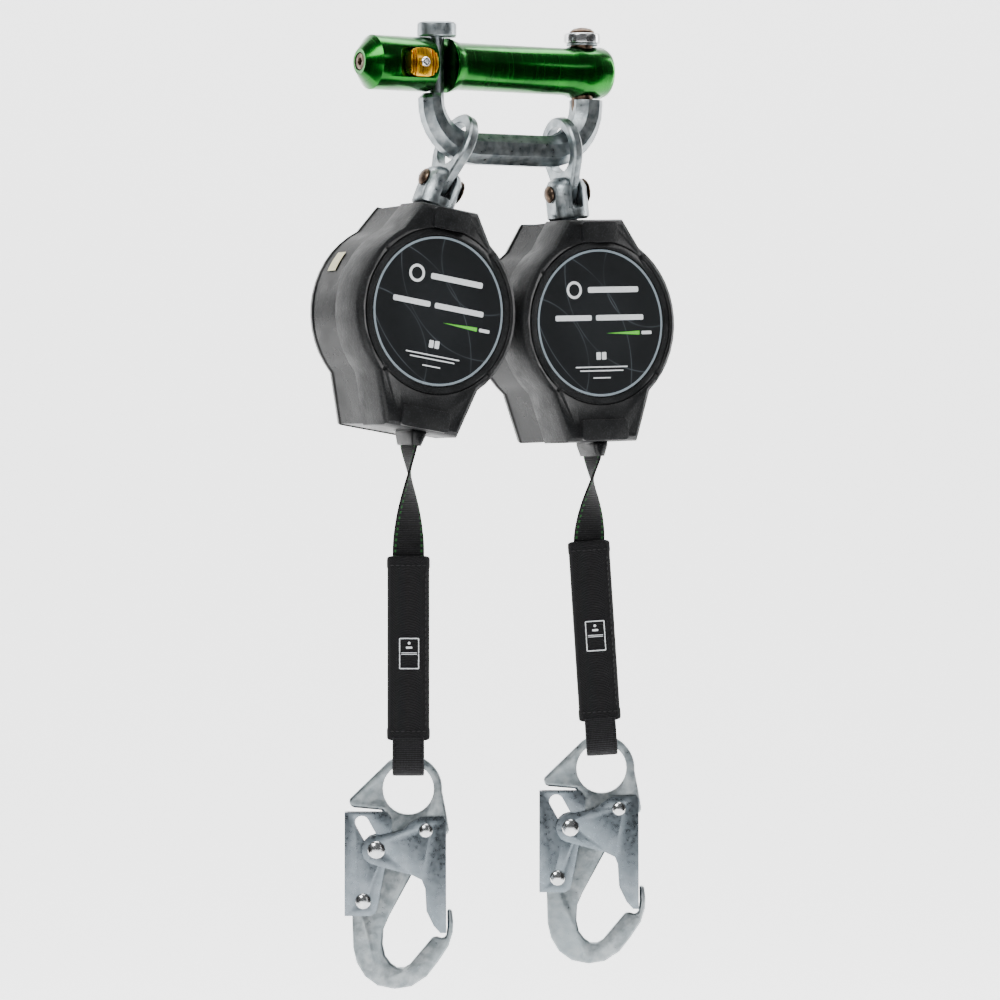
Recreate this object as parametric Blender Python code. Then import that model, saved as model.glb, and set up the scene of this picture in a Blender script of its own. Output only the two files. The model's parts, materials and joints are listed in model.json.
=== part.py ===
"""A twin-leg self retracting lifeline: two web retractors hung on one locking barrel connector.

Dimensions are in millimetres and each mesh is scaled to metres when it is made.
+X runs along the connector barrel, +Y points away from the label side, +Z is up.
The origin is on the barrel's axis, midway between the legs of the bail.
"""

import math

import bmesh
import bpy
from mathutils import Matrix, Vector

MM = 0.001
GAP = 0.3                     # clearance between pieces that touch

# Connector
BARREL_NOSE_X = -102.0
BARREL_END_X = 65.6
HEAD_RADIUS = 16.0            # the barrel's wide head, which holds the lock
TUBE_RADIUS = 14.0
PIVOT_RADIUS = 15.5           # the barrel round its pivot
PIVOT_X = 50.0
NECK_X = -50.0                # the bail's neck, which the lock captures
NECK_RADIUS = 4.25
PIVOT_HOLE = 6.8
LEG_SLOT = (-57.0, -44.0)
PLUNGER_REAR_X = -78.0
WINDOW_X = -70.6
WINDOW_SIZE = (24.4, 17.6)
WINDOW_FLOOR_Y = -9.0
BUTTON_SIZE = (18.0, 16.6)
BUTTON_TOP = 17.3             # the button's thumb face, from the barrel's axis
BUTTON_REST_X = -67.9
BAR_Z = -48.0                 # the bail's lower bar
BEND_RADIUS = 28.0
BEND_Z = BAR_Z + BEND_RADIUS
LEG_TOP_Z = -16.5
BEND_LEFT_X = -26.0
BEND_RIGHT_X = 24.8
BAIL_WIDTHS = (14.0, 18.3, 18.5)
HANG_ANGLE = 23.5             # where the rings hang on the two bends

# Hanger: the ring, the swivelling clevis and its trunnion
RING_HOLE_RADIUS = 13.8
RING_WALL = 5.4
RING_CENTRE_Z = -0.6          # the ring's hole, from the bar's centre
RING_THICKNESS = 6.2
PIN_DROP = 26.5               # bar centre to clevis pin
TRUNNION_DROP = 28.1          # clevis pin to trunnion
FORK_RADIUS = 12.5
FORK_FLAT = 11.3
STEM_RADIUS = 5.0
PIN_HOLE = 3.5
TRUNNION_HOLE = 3.3
SWIVEL_RADIUS = 8.5

# Retractor case
CASE_RADIUS = 53.5
CASE_HALF_DEPTH = 30.5
SEAM_Y = -3.5
WALL = 3.2
CASE_DROP = 50.0              # trunnion to the case's centre
TOP_BOSS = (30.0, 19.0, 61.0)        # half width at the case, half width at the end, reach
BOTTOM_BOSS = (34.5, 24.5, 70.2)
LABEL_RADIUS = 43.7
LABEL_RECESS = 1.2
DRUM_RADIUS = 31.0
HUB_RADIUS = 10.0
AXLE_RADIUS = 5.0
EXIT_Y = -17.0
RATCHET_TEETH = 12
RATCHET_RADII = (30.0, 27.0, 23.5)   # outside, tooth root, tooth tip
COIL_RADIUS = 27.5            # webbing wound on the drum
PAWL_RADIUS = 13.0            # the pawls' pivots, from the drum's axis
COIL_STEPS = 10               # points on each turn of the plunger spring

# Lanyard and hook
WEB_WIDTH = 18.3
WEB_THICKNESS = 1.7
SLEEVE_SIZE = (25.0, 8.0, 106.0)
SLEEVE_BASE = 12.6            # above the axis that the hook swings on
HOOK_FACING = -31.0           # the lanyards face this way about +Z
HOOK_EYE_DROP = 15.8          # swing axis to the centre of the hook's eye
HOOK_RIVET_HOLE = 2.5
BODY_HALF = 4.0
LOCK_HALF = (4.3, 5.8)
GATE_HALF = (6.1, 7.6)
GATE_PIVOT = (10.2, -23.8)
LINK_PIVOT = (-18.4, -35.0)
LOCK_PIVOT = (-26.0, -64.8)

UNITS = {
    "l": {"side": -1, "hanger_roll": 23.5, "case_roll": 8.8, "base": (-79.0, EXIT_Y, -405.7), "lean": 0.0},
    "r": {"side": 1, "hanger_roll": -6.5, "case_roll": -2.0, "base": (53.0, EXIT_Y, -397.2), "lean": -3.7},
}

FINISHES = {
    "green_anodised": ((0.02, 0.22, 0.03), 0.25, 1.0),
    "gold_anodised": ((0.75, 0.42, 0.04), 0.3, 1.0),
    "zinc_plate": ((0.60, 0.62, 0.62), 0.35, 1.0),
    "bronze_rivet": ((0.16, 0.12, 0.09), 0.35, 1.0),
    "bright_steel": ((0.70, 0.70, 0.70), 0.25, 1.0),
    "black_polymer": ((0.03, 0.03, 0.032), 0.55, 0.0),
    "label_film": ((0.05, 0.055, 0.06), 0.4, 0.0),
    "black_webbing": ((0.02, 0.02, 0.02), 0.9, 0.0),
    "sleeve_fabric": ((0.015, 0.015, 0.015), 0.95, 0.0),
    "spring_steel": ((0.35, 0.36, 0.38), 0.4, 1.0),
}


def clear_scene():
    """Remove whatever the file opened with."""
    for item in list(bpy.data.objects):
        bpy.data.objects.remove(item, do_unlink=True)


def finish(name):
    """The material of that name, made once."""
    made = bpy.data.materials.get(name)
    if made:
        return made
    colour, roughness, metallic = FINISHES[name]
    made = bpy.data.materials.new(name)
    made.use_nodes = True
    shader = made.node_tree.nodes["Principled BSDF"]
    shader.inputs["Base Color"].default_value = (*colour, 1.0)
    shader.inputs["Roughness"].default_value = roughness
    shader.inputs["Metallic"].default_value = metallic
    made.diffuse_color = (*colour, 1.0)
    return made


def add_empty(name, place, roll=0.0, yaw=0.0, parent=None):
    """An empty on a joint's axis: yaw turns it about Z, then roll about its own Y, in degrees."""
    empty = bpy.data.objects.new(name, None)
    turn = Matrix.Rotation(math.radians(yaw), 4, "Z") @ Matrix.Rotation(math.radians(roll), 4, "Y")
    empty.matrix_local = Matrix.Translation(Vector(place) * MM) @ turn
    empty.parent = parent
    bpy.context.scene.collection.objects.link(empty)
    return empty


def add_object(name, bm, parent=None, shift=(0.0, 0.0, 0.0)):
    """Close a bmesh drawn in millimetres into an object, moved by shift in its parent's frame."""
    bmesh.ops.remove_doubles(bm, verts=bm.verts, dist=1e-4)
    bmesh.ops.recalc_face_normals(bm, faces=bm.faces)
    bmesh.ops.translate(bm, vec=Vector(shift), verts=bm.verts)
    bmesh.ops.scale(bm, vec=(MM, MM, MM), verts=bm.verts)
    mesh = bpy.data.meshes.new(name)
    bm.to_mesh(mesh)
    bm.free()
    mesh.shade_smooth()
    mesh.set_sharp_from_angle(angle=math.radians(35))
    made = bpy.data.objects.new(name, mesh)
    made.parent = parent
    bpy.context.scene.collection.objects.link(made)
    return made


def add_piece(name, bm, finish_name, parent=None, shift=(0.0, 0.0, 0.0), bevel=0.0):
    """One named piece with its finish, and its edges broken by a bevel if one is given."""
    made = add_object(name, bm, parent, shift)
    made.data.materials.append(finish(finish_name))
    if bevel:
        edge = made.modifiers.new("broken_edges", "BEVEL")
        edge.width = bevel * MM
        edge.segments = 1
        edge.limit_method = "ANGLE"
        edge.angle_limit = math.radians(40)
    return made


def cut(target, bm, shift=(0.0, 0.0, 0.0), operation="DIFFERENCE"):
    """Cut one closed shape from a piece, or join it on with a union."""
    tool = add_object(f"tool_{target.name}_{len(target.modifiers)}", bm, target.parent, shift)
    tool.hide_render = True
    tool.display_type = "WIRE"
    step = target.modifiers.new("cut", "BOOLEAN")
    step.operation = operation
    step.object = tool


def along_axis(axis, across, over, along):
    """A point from two coordinates across an axis and one along it."""
    return {"X": (along, across, over), "Y": (across, along, over), "Z": (across, over, along)}[axis]


def prism(outline, low, high, axis="Y"):
    """A closed outline carried along an axis from low to high."""
    bm = bmesh.new()
    add_prism(bm, outline, low, high, axis)
    return bm


def add_prism(bm, outline, low, high, axis="Y"):
    """Add a prism's faces to a bmesh that may hold others."""
    face = bm.faces.new([bm.verts.new(along_axis(axis, a, b, low)) for a, b in outline])
    swept = bmesh.ops.extrude_face_region(bm, geom=[face])
    moved = [item for item in swept["geom"] if isinstance(item, bmesh.types.BMVert)]
    bmesh.ops.translate(bm, vec=along_axis(axis, 0, 0, high - low), verts=moved)


def turned(profile, axis="Z", steps=24, closed=False):
    """A profile of (along, radius) points spun once round an axis through the origin."""
    bm = bmesh.new()
    corners = [bm.verts.new(along_axis(axis, radius, 0, along)) for along, radius in profile]
    ends = corners[1:] + corners[:1] if closed else corners[1:]
    edges = [bm.edges.new(pair) for pair in zip(corners, ends)]
    spin_axis = along_axis(axis, 0, 0, 1)
    bmesh.ops.spin(bm, geom=corners + edges, cent=(0, 0, 0), axis=spin_axis,
                   angle=math.tau, steps=steps, use_merge=True)
    return bm


def rod(low, high, radius, axis="Z", steps=16):
    """A plain cylinder along an axis."""
    return turned([(low, 0), (low, radius), (high, radius), (high, 0)], axis, steps)


def loft(rings):
    """A closed skin through rings that have the same number of points."""
    bm = bmesh.new()
    rows = [[bm.verts.new(point) for point in ring] for ring in rings]
    for lower, upper in zip(rows, rows[1:]):
        for index in range(len(lower)):
            after = (index + 1) % len(lower)
            bm.faces.new((lower[index], lower[after], upper[after], upper[index]))
    bm.faces.new(rows[0])
    bm.faces.new(rows[-1])
    return bm


def arc(centre, radius, start, end, steps):
    """Points along an arc, with its angles in degrees, both ends included."""
    points = []
    for step in range(steps + 1):
        angle = math.radians(start + (end - start) * step / steps)
        points.append((centre[0] + radius * math.cos(angle), centre[1] + radius * math.sin(angle)))
    return points


def rounded_box(width, height, radius, centre=(0.0, 0.0), steps=3):
    """The outline of a rectangle with rounded corners."""
    points = []
    for quarter, (right, top) in enumerate(((1, 1), (-1, 1), (-1, -1), (1, -1))):
        corner = (centre[0] + right * (width / 2 - radius), centre[1] + top * (height / 2 - radius))
        points += arc(corner, radius, 90 * quarter, 90 * quarter + 90, steps)
    return points


def box(x_range, y_range, z_range):
    """A plain box between limits on each axis."""
    left, right = x_range
    low, high = z_range
    return prism([(left, low), (right, low), (right, high), (left, high)], *y_range)


# ---------------------------------------------------------------- connector

def bend_centre_x(side):
    """The centre of the bail's bend on one side, -1 left or 1 right."""
    return BEND_LEFT_X if side < 0 else BEND_RIGHT_X


def bar_point(side):
    """The centre of the bail's section where a ring hangs."""
    angle = math.radians(HANG_ANGLE)
    x = bend_centre_x(side) + side * BEND_RADIUS * math.sin(angle)
    return (x, 0.0, BEND_Z - BEND_RADIUS * math.cos(angle))


def octagon_ring(centre, tangent_angle, width):
    """An eight-sided section across the bail, at a point (x, z) of its path."""
    radius = width / 2 / math.cos(math.pi / 8)
    normal = Vector((-math.sin(tangent_angle), 0.0, math.cos(tangent_angle)))
    ring = []
    for corner in range(8):
        angle = math.pi / 8 + corner * math.pi / 4
        offset = normal * (radius * math.cos(angle)) + Vector((0, radius * math.sin(angle), 0))
        ring.append(Vector((centre[0], 0.0, centre[1])) + offset)
    return ring


def make_bail():
    """The forged bail: a U of octagonal section with a headed neck on its left leg."""
    left = arc((BEND_LEFT_X, BEND_Z), BEND_RADIUS, 180, 270, 8)
    right = arc((BEND_RIGHT_X, BEND_Z), BEND_RADIUS, 270, 360, 8)
    leg_left = BEND_LEFT_X - BEND_RADIUS
    leg_right = BEND_RIGHT_X + BEND_RADIUS
    narrow, middle, wide = BAIL_WIDTHS
    rings = [octagon_ring((leg_left + 1.5, LEG_TOP_Z), math.radians(-90), narrow - 3)]
    rings.append(octagon_ring((leg_left, LEG_TOP_Z - 3), math.radians(-90), narrow))
    for first, last, turn, bend in ((narrow, middle, -90, left), (middle, wide, 0, right)):
        for step, point in enumerate(bend):
            share = step / (len(bend) - 1)
            rings.append(octagon_ring(point, math.radians(turn + 90 * share), first + (last - first) * share))
    rings.append(octagon_ring((leg_right, LEG_TOP_Z), math.radians(90), wide))
    bail = add_piece("bail", loft(rings), "zinc_plate")
    neck = turned([
        (-21, 0), (-21, NECK_RADIUS), (16.3, NECK_RADIUS), (16.3, 10.7),
        (17.2, 11.5), (24, 11.5), (25, 10.5), (25, 0),
    ])
    cut(bail, neck, (NECK_X, 0, 0), "UNION")
    cut(bail, rod(-26, 0, PIVOT_HOLE), (PIVOT_X, 0, 0))


def make_barrel(parent):
    """The anodised barrel, cut for its window, lock bore, leg slot, nose screw and pivot."""
    profile = [
        (BARREL_NOSE_X, 0), (BARREL_NOSE_X, 7.4), (-94.5, HEAD_RADIUS), (-43, HEAD_RADIUS),
        (-39, 14.7), (-36, TUBE_RADIUS), (38, TUBE_RADIUS), (43, PIVOT_RADIUS),
        (BARREL_END_X - 4, PIVOT_RADIUS), (BARREL_END_X - 1.2, 14.3), (BARREL_END_X, 11.5), (BARREL_END_X, 0),
    ]
    at_pivot = (-PIVOT_X, 0, 0)
    barrel = add_piece("barrel", turned(profile, "X", 32), "green_anodised", parent, at_pivot)
    window = prism(rounded_box(*WINDOW_SIZE, 5.0, (WINDOW_X, 0)), -20, WINDOW_FLOOR_Y)
    cut(barrel, window, at_pivot)
    cut(barrel, box(LEG_SLOT, (-20, 7.5), (-20, 20)), at_pivot)
    cut(barrel, rod(-92, LEG_SLOT[0] + 1, 4.7, "X"), at_pivot)
    cut(barrel, box((-75.5, -61), (WINDOW_FLOOR_Y - 1, 0), (-2, 2)), at_pivot)
    cut(barrel, rod(BARREL_NOSE_X - 1, -95.4, 5.4, "X"), at_pivot)
    cut(barrel, rod(-20, 20, PIVOT_HOLE))


def make_lock(parent):
    """The slide button, its screw, the plunger behind it and the plunger's spring."""
    origin = (-BUTTON_REST_X, 0, 0)
    half = BUTTON_SIZE[0] / 2
    rise = math.degrees(math.asin(BUTTON_SIZE[1] / 2 / BUTTON_TOP))
    face = arc((0, 0), BUTTON_TOP, 180 - rise, 180 + rise, 8)
    outline = [(WINDOW_FLOOR_Y - GAP, face[-1][1]), (WINDOW_FLOOR_Y - GAP, face[0][1])] + face
    low = BUTTON_REST_X - half
    button = add_piece("slide_button", prism(outline, low, low + BUTTON_SIZE[0], "X"), "gold_anodised",
                       parent, origin)
    grooves = bmesh.new()
    for offset in (-7.4, -5.6, 5.6, 7.4):
        centre = BUTTON_REST_X + offset
        ends = [(centre - 0.5, -10), (centre + 0.5, -10), (centre + 0.5, 10), (centre - 0.5, 10)]
        add_prism(grooves, ends, -20, -14.2)
    cut(button, grooves, origin)
    cut(button, prism(rounded_box(*BUTTON_SIZE, 5.5), -30, 0), operation="INTERSECT")
    cut(button, rod(-20, -5, 1.8, "Y"))
    screw = [(-19.2, 0), (-19.2, 2.2), (-18.3, 3), (-17.7, 3), (-17.7, 1.5), (-2, 1.5), (-2, 0)]
    screw_piece = add_piece("button_screw", turned(screw, "Y", 16), "bright_steel", parent)
    cut(screw_piece, rod(-20, -18, 1.1, "Y", 6))
    tip = LEG_SLOT[0] - GAP
    plunger = [(PLUNGER_REAR_X, 0), (PLUNGER_REAR_X, 4.3), (tip - 0.9, 4.3), (tip, 3.4), (tip, 0)]
    plunger_piece = add_piece("lock_plunger", turned(plunger, "X", 20), "spring_steel", parent, origin)
    cut(plunger_piece, rod(-8, -1, 1.8, "Y"))


def coil_spring(name, start, end, radius, wire, turns, parent, shift):
    """A helical spring along X as a thick curve with filled ends."""
    curve = bpy.data.curves.new(name, "CURVE")
    curve.dimensions = "3D"
    curve.bevel_depth = wire / 2 * MM
    curve.bevel_resolution = 0
    curve.use_fill_caps = True
    count = turns * COIL_STEPS
    spline = curve.splines.new("POLY")
    spline.points.add(count)
    for step in range(count + 1):
        angle = math.tau * step / COIL_STEPS
        x = start + (end - start) * step / count
        place = Vector((x, radius * math.cos(angle), radius * math.sin(angle))) + Vector(shift)
        spline.points[step].co = (*(place * MM), 1.0)
    curve.materials.append(finish("spring_steel"))
    made = bpy.data.objects.new(name, curve)
    made.parent = parent
    bpy.context.scene.collection.objects.link(made)


def make_pivot():
    """The rivet that the barrel turns on, with its collar and washer."""
    rivet = [(-25.6, 0), (-25.6, 6.5), (23.3, 6.5), (23.3, 7.3), (24.4, 7.3), (26, 5.2), (27, 0)]
    add_piece("pivot_rivet", turned(rivet), "bronze_rivet", shift=(PIVOT_X, 0, 0))
    collar = [(17.3, 6.8), (17.3, 10.75), (22.3, 10.75), (23, 10.1), (23, 6.8)]
    add_piece("pivot_collar", turned(collar, closed=True), "bright_steel", shift=(PIVOT_X, 0, 0))
    washer = [(15.8, 6.8), (15.8, 9.3), (17, 9.3), (17, 6.8)]
    add_piece("pivot_washer", turned(washer, closed=True), "zinc_plate", shift=(PIVOT_X, 0, 0))


def make_nose_screw(parent):
    """The hex-socket screw in the barrel's nose."""
    face = BARREL_NOSE_X + 0.3
    shape = [(face, 0), (face, 4.6), (face + 0.5, 5), (-95.8, 5), (-95.8, 0)]
    screw = add_piece("nose_screw", turned(shape, "X", 20), "bronze_rivet", parent, (-PIVOT_X, 0, 0))
    cut(screw, rod(BARREL_NOSE_X - 1, -98.5, 2.6, "X", 6), (-PIVOT_X, 0, 0))


def make_connector():
    """The bail and, swinging on it, the barrel with its lock."""
    barrel_axis = add_empty("barrel_axis", (PIVOT_X, 0, 0))
    button_axis = add_empty("button_axis", (BUTTON_REST_X - PIVOT_X, 0, 0), parent=barrel_axis)
    make_bail()
    make_pivot()
    make_barrel(barrel_axis)
    make_nose_screw(barrel_axis)
    make_lock(button_axis)
    coil_spring("plunger_spring", -91.4, -78.8, 3.2, 0.9, 5, barrel_axis, (-PIVOT_X, 0, 0))


# ---------------------------------------------------------------- hanger

def make_eye(tag, parent):
    """The ring that hangs on the bail, with a tail drilled for the clevis pin."""
    outer = RING_HOLE_RADIUS + RING_WALL
    tail = 8.0
    lean = math.degrees(math.asin((outer - tail) / (PIN_DROP + RING_CENTRE_Z)))
    outline = arc((0, RING_CENTRE_Z), outer, -lean, 180 + lean, 22)
    outline += arc((0, -PIN_DROP), tail, 180 + lean, 360 - lean, 6)
    half = RING_THICKNESS / 2
    eye = add_piece(f"eye_{tag}", prism(outline, -half, half, "X"), "zinc_plate", parent, bevel=1.1)
    cut(eye, rod(-half - 1, half + 1, RING_HOLE_RADIUS, "X", 32), (0, 0, RING_CENTRE_Z))
    cut(eye, rod(-half - 1, half + 1, PIN_HOLE, "X"), (0, 0, -PIN_DROP))


def make_clevis(tag, parent):
    """The slotted fork and the headed stem that it swivels on."""
    profile = [
        (9.5, 0), (9.5, 6), (7.5, 10), (3, FORK_RADIUS), (-14.5, FORK_RADIUS), (-16, 11), (-16, STEM_RADIUS),
        (-37.2, STEM_RADIUS), (-37.2, 7), (-39.4, 7), (-39.4, 0),
    ]
    clevis = add_piece(f"clevis_{tag}", turned(profile, steps=24), "zinc_plate", parent)
    cut(clevis, box((-3.5, 3.5), (-20, 20), (-9, 20)))
    cut(clevis, box((FORK_FLAT, 20), (-20, 20), (-12, 20)))
    cut(clevis, box((-20, -FORK_FLAT), (-20, 20), (-12, 20)))
    cut(clevis, rod(-20, 20, PIN_HOLE, "X"))
    near = FORK_FLAT + GAP
    rivet = [
        (-near - 2.6, 0), (-near - 2.2, 3), (-near - 0.8, 5.2), (-near, 5.3), (-near, 3.2),
        (near, 3.2), (near, 8), (near + 0.8, 7.8), (near + 2.4, 4.4), (near + 2.9, 0),
    ]
    add_piece(f"clevis_rivet_{tag}", turned(rivet, "X", 14), "bronze_rivet", parent)


def make_swivel_block(tag, parent):
    """The barrel nut that the stem turns in, rocking on two stub trunnions along Y."""
    profile = [
        (-15.7, 0), (-15.7, 3), (-12.5, 3), (-12.5, SWIVEL_RADIUS),
        (12.5, SWIVEL_RADIUS), (12.5, 3), (15.7, 3), (15.7, 0),
    ]
    block = add_piece(f"swivel_block_{tag}", turned(profile, "Y", 16), "spring_steel", parent)
    cut(block, rod(-12, 12, STEM_RADIUS + GAP))


# ---------------------------------------------------------------- retractor case

def case_outline(inset):
    """The case seen from the front: a circle with a boss above and a wider one below."""
    radius = CASE_RADIUS - inset
    top_base, top_end, top_reach = TOP_BOSS
    low_base, low_end, low_reach = BOTTOM_BOSS
    top_angle = math.degrees(math.acos((top_base - inset) / radius))
    low_angle = -math.degrees(math.acos((low_base - inset) / radius))
    right = arc((0, 0), radius, low_angle, top_angle, 14)
    left = [(-x, z) for x, z in reversed(right)]
    top = [(top_end - inset * 0.7, top_reach - inset), (-top_end + inset * 0.7, top_reach - inset)]
    low = [(-low_end + inset * 0.7, -low_reach + inset), (low_end - inset * 0.7, -low_reach + inset)]
    return right + top + left + low


def case_rings(stations):
    """Sections of the case for a loft, from (y, inset) stations."""
    return [[Vector((x, y, z)) for x, z in case_outline(inset)] for y, inset in stations]


def make_covers(tag, parent):
    """The textured front cover and the smoother rear cover, each an open shell."""
    front_y = -CASE_HALF_DEPTH
    drop = (0, 0, -CASE_DROP)
    stations = [(SEAM_Y, 0), (front_y + 3.2, 0), (front_y + 1, 1.0), (front_y, 3.0)]
    front = add_piece(f"front_cover_{tag}", loft(case_rings(stations)), "black_polymer", parent, drop)
    stations = [(CASE_HALF_DEPTH, 3.5), (CASE_HALF_DEPTH - 1.5, 1.4), (25.4, 0.4), (24.6, 0.4),
                (24.4, 1.2), (SEAM_Y + GAP, 0.8)]
    rear = add_piece(f"rear_cover_{tag}", loft(case_rings(stations)), "black_polymer", parent, drop)
    cut(front, loft(case_rings([(front_y + WALL, WALL), (SEAM_Y + 1, WALL)])), drop)
    cut(rear, loft(case_rings([(SEAM_Y - 1, WALL + 0.8), (CASE_HALF_DEPTH - WALL, WALL + 0.8)])), drop)
    cut(front, rod(front_y - 1, front_y + LABEL_RECESS, LABEL_RADIUS + 0.6, "Y", 40), drop)
    for cover in (front, rear):
        cut(cover, box((-17, 17), (-13.6, 13.6), (50, 66)), drop)
    cut(front, box((-5.5, 5.5), (EXIT_Y - 11, EXIT_Y + 11), (-75, -60)), drop)
    for low in (-69.0, 47.5):
        width = 31.7 if low < 0 else 24.0
        block = prism(rounded_box(width, 12, 2, (0, low + 6)), front_y - 2.5, front_y + 2)
        cut(front, block, drop, "UNION")
    label = turned([(front_y + 0.1, 0), (front_y + 0.1, LABEL_RADIUS), (front_y + 0.9, LABEL_RADIUS),
                    (front_y + 0.9, 0)], "Y", 40)
    add_piece(f"label_disc_{tag}", label, "label_film", parent, drop)


def make_frame(tag, parent):
    """The load frame: a plate behind the drum that forks above it to hold the trunnions."""
    profile = [
        (-4, -20), (-1, -20), (-1, 32), (16, 32), (16, 56), (13, 56), (13, 35),
        (-13, 35), (-13, 56), (-16, 56), (-16, 32), (-4, 32),
    ]
    drop = (0, 0, -CASE_DROP)
    frame = add_piece(f"frame_{tag}", prism(profile, -11, 11, "X"), "spring_steel", parent, drop)
    cut(frame, rod(-5, 0, AXLE_RADIUS + GAP, "Y"), drop)
    cut(frame, rod(-20, 20, TRUNNION_HOLE, "Y"))
    outer, root, tip = RATCHET_RADII
    teeth = []
    for tooth in range(RATCHET_TEETH):
        start = math.tau * tooth / RATCHET_TEETH
        for turn, radius in ((start, tip), (start + 0.06, root), (start + 0.3, root - 1)):
            teeth.append((radius * math.cos(turn), radius * math.sin(turn)))
    ratchet = add_piece(f"ratchet_ring_{tag}", rod(3.4, 7.4, outer, "Y", 24), "spring_steel", parent, drop)
    cut(ratchet, prism(teeth, 2, 9), drop)


def make_drum(tag, parent):
    """The web drum with its axle and pawl carrier, and the webbing wound on it."""
    axle = [
        (-26.8, 0), (-26.8, AXLE_RADIUS), (0.5, AXLE_RADIUS), (0.5, 16), (3, 16), (3, AXLE_RADIUS),
        (25, AXLE_RADIUS), (25, 0),
    ]
    add_piece(f"axle_{tag}", turned(axle, "Y", 14), "bright_steel", parent)
    bore = AXLE_RADIUS + GAP
    drum = [
        (-26.6, bore), (-26.6, DRUM_RADIUS), (-25.1, DRUM_RADIUS), (-25.1, HUB_RADIUS),
        (-6.1, HUB_RADIUS), (-6.1, DRUM_RADIUS), (-4.6, DRUM_RADIUS), (-4.6, bore),
    ]
    add_piece(f"drum_{tag}", turned(drum, "Y", 22, closed=True), "spring_steel", parent)
    wound = [(-24.8, HUB_RADIUS + GAP), (-24.8, COIL_RADIUS), (-6.4, COIL_RADIUS), (-6.4, HUB_RADIUS + GAP)]
    add_piece(f"webbing_coil_{tag}", turned(wound, "Y", 22, closed=True), "black_webbing", parent)


def make_pawl(tag, which, parent):
    """One locking pawl, a small lever on the drum's carrier that centrifugal force swings out."""
    outline = arc((0, 0), 3, 90, 270, 4) + [(9, -2.2), (12, 1.0), (8, 2.6)]
    pawl = add_piece(f"pawl_{which}_{tag}", prism(outline, 3.5, 7.0), "bright_steel", parent)
    cut(pawl, rod(2, 9, 1.2, "Y", 10))


def make_power_spring(tag, parent):
    """The flat spiral spring behind the frame that winds the webbing in."""
    turns, steps = 3, 12
    inner, outer = 6.5, 27.0
    outward = []
    inward = []
    for step in range(turns * steps + 1):
        angle = math.tau * step / steps
        radius = inner + (outer - inner) * step / (turns * steps)
        for side, offset in ((outward, 0.5), (inward, -0.5)):
            side.append(((radius + offset) * math.cos(angle), (radius + offset) * math.sin(angle)))
    rows = []
    for outside, inside in zip(outward, inward):
        corners = [(outside, 9), (inside, 9), (inside, 22), (outside, 22)]
        rows.append([Vector((point[0], y, point[1])) for point, y in corners])
    add_piece(f"power_spring_{tag}", loft(rows), "spring_steel", parent, (0, 0, -CASE_DROP))


def make_nozzle(tag, parent):
    """The guide that the webbing leaves through, pushed into the bottom of the front cover."""
    stations = [(-78.5, 6.5, 19.6), (-72, 10, 22), (-70.6, 10, 22), (-70.6, 10.2, 21.2), (-62, 10.2, 21.2)]
    rings = []
    for z, width, depth in stations:
        outline = rounded_box(width, depth, 2.0, (0, EXIT_Y), 2)
        rings.append([Vector((x, y, z)) for x, y in outline])
    drop = (0, 0, -CASE_DROP)
    nozzle = add_piece(f"webbing_nozzle_{tag}", loft(rings), "black_polymer", parent, drop)
    cut(nozzle, prism(rounded_box(3.6, WEB_WIDTH + 0.8, 1.5, (0, EXIT_Y), 2), -80, -60, "Z"), drop)


# ---------------------------------------------------------------- lanyard

def make_webbing(tag, case, base):
    """The webbing between the drum and the sleeve, twisting as it leaves the case."""
    start = -CASE_DROP - 34.0
    exit_z = -CASE_DROP - 79.5
    rings = []
    turn = case.to_3x3()
    for z in (start, exit_z):
        centre = case @ Vector((0, EXIT_Y, z))
        rings.append(ribbon_ring(centre, turn @ Vector((0, 1, 0)), turn @ Vector((1, 0, 0))))
    top = base @ Vector((0, 0, SLEEVE_BASE + SLEEVE_SIZE[2] + 4 * GAP))
    steps = 12
    for step in range(1, steps + 1):
        share = step / steps
        centre = (case @ Vector((0, EXIT_Y, exit_z))).lerp(top, share)
        angle = math.radians(90 + (HOOK_FACING - 90) * share)
        width = Vector((math.cos(angle), math.sin(angle), 0))
        rings.append(ribbon_ring(centre, width, Vector((math.sin(angle), -math.cos(angle), 0))))
    add_piece(f"webbing_{tag}", loft(rings), "black_webbing")


def ribbon_ring(centre, width, thickness):
    """The four corners of the webbing's section."""
    half_width = width.normalized() * WEB_WIDTH / 2
    half_thick = thickness.normalized() * WEB_THICKNESS / 2
    return [centre + half_width + half_thick, centre - half_width + half_thick,
            centre - half_width - half_thick, centre + half_width - half_thick]


def make_sleeve(tag, parent):
    """The label sleeve over the sewn webbing, and the loop below it that holds the hook."""
    width, depth, length = SLEEVE_SIZE
    stations = [(0, 3), (1.5, 0), (length - 2, 0), (length, 3)]
    rings = []
    for rise, inset in stations:
        outline = rounded_box(width - inset, depth - inset / 2, 2.5, steps=3)
        rings.append([Vector((x, y, SLEEVE_BASE + rise)) for x, y in outline])
    add_piece(f"label_sleeve_{tag}", loft(rings), "sleeve_fabric", parent)
    top = SLEEVE_BASE - GAP
    outside = arc((0, 0), 8.4, 15, -195, 14)
    inside = arc((0, 0), 6.7, -195, 15, 14)
    outline = [(3.9, top)] + outside + [(-3.9, top), (-2.2, top)] + inside + [(2.2, top)]
    add_piece(f"hook_loop_{tag}", prism(outline, -WEB_WIDTH / 2, WEB_WIDTH / 2, "X"), "black_webbing", parent)


# ---------------------------------------------------------------- snap hook

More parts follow.
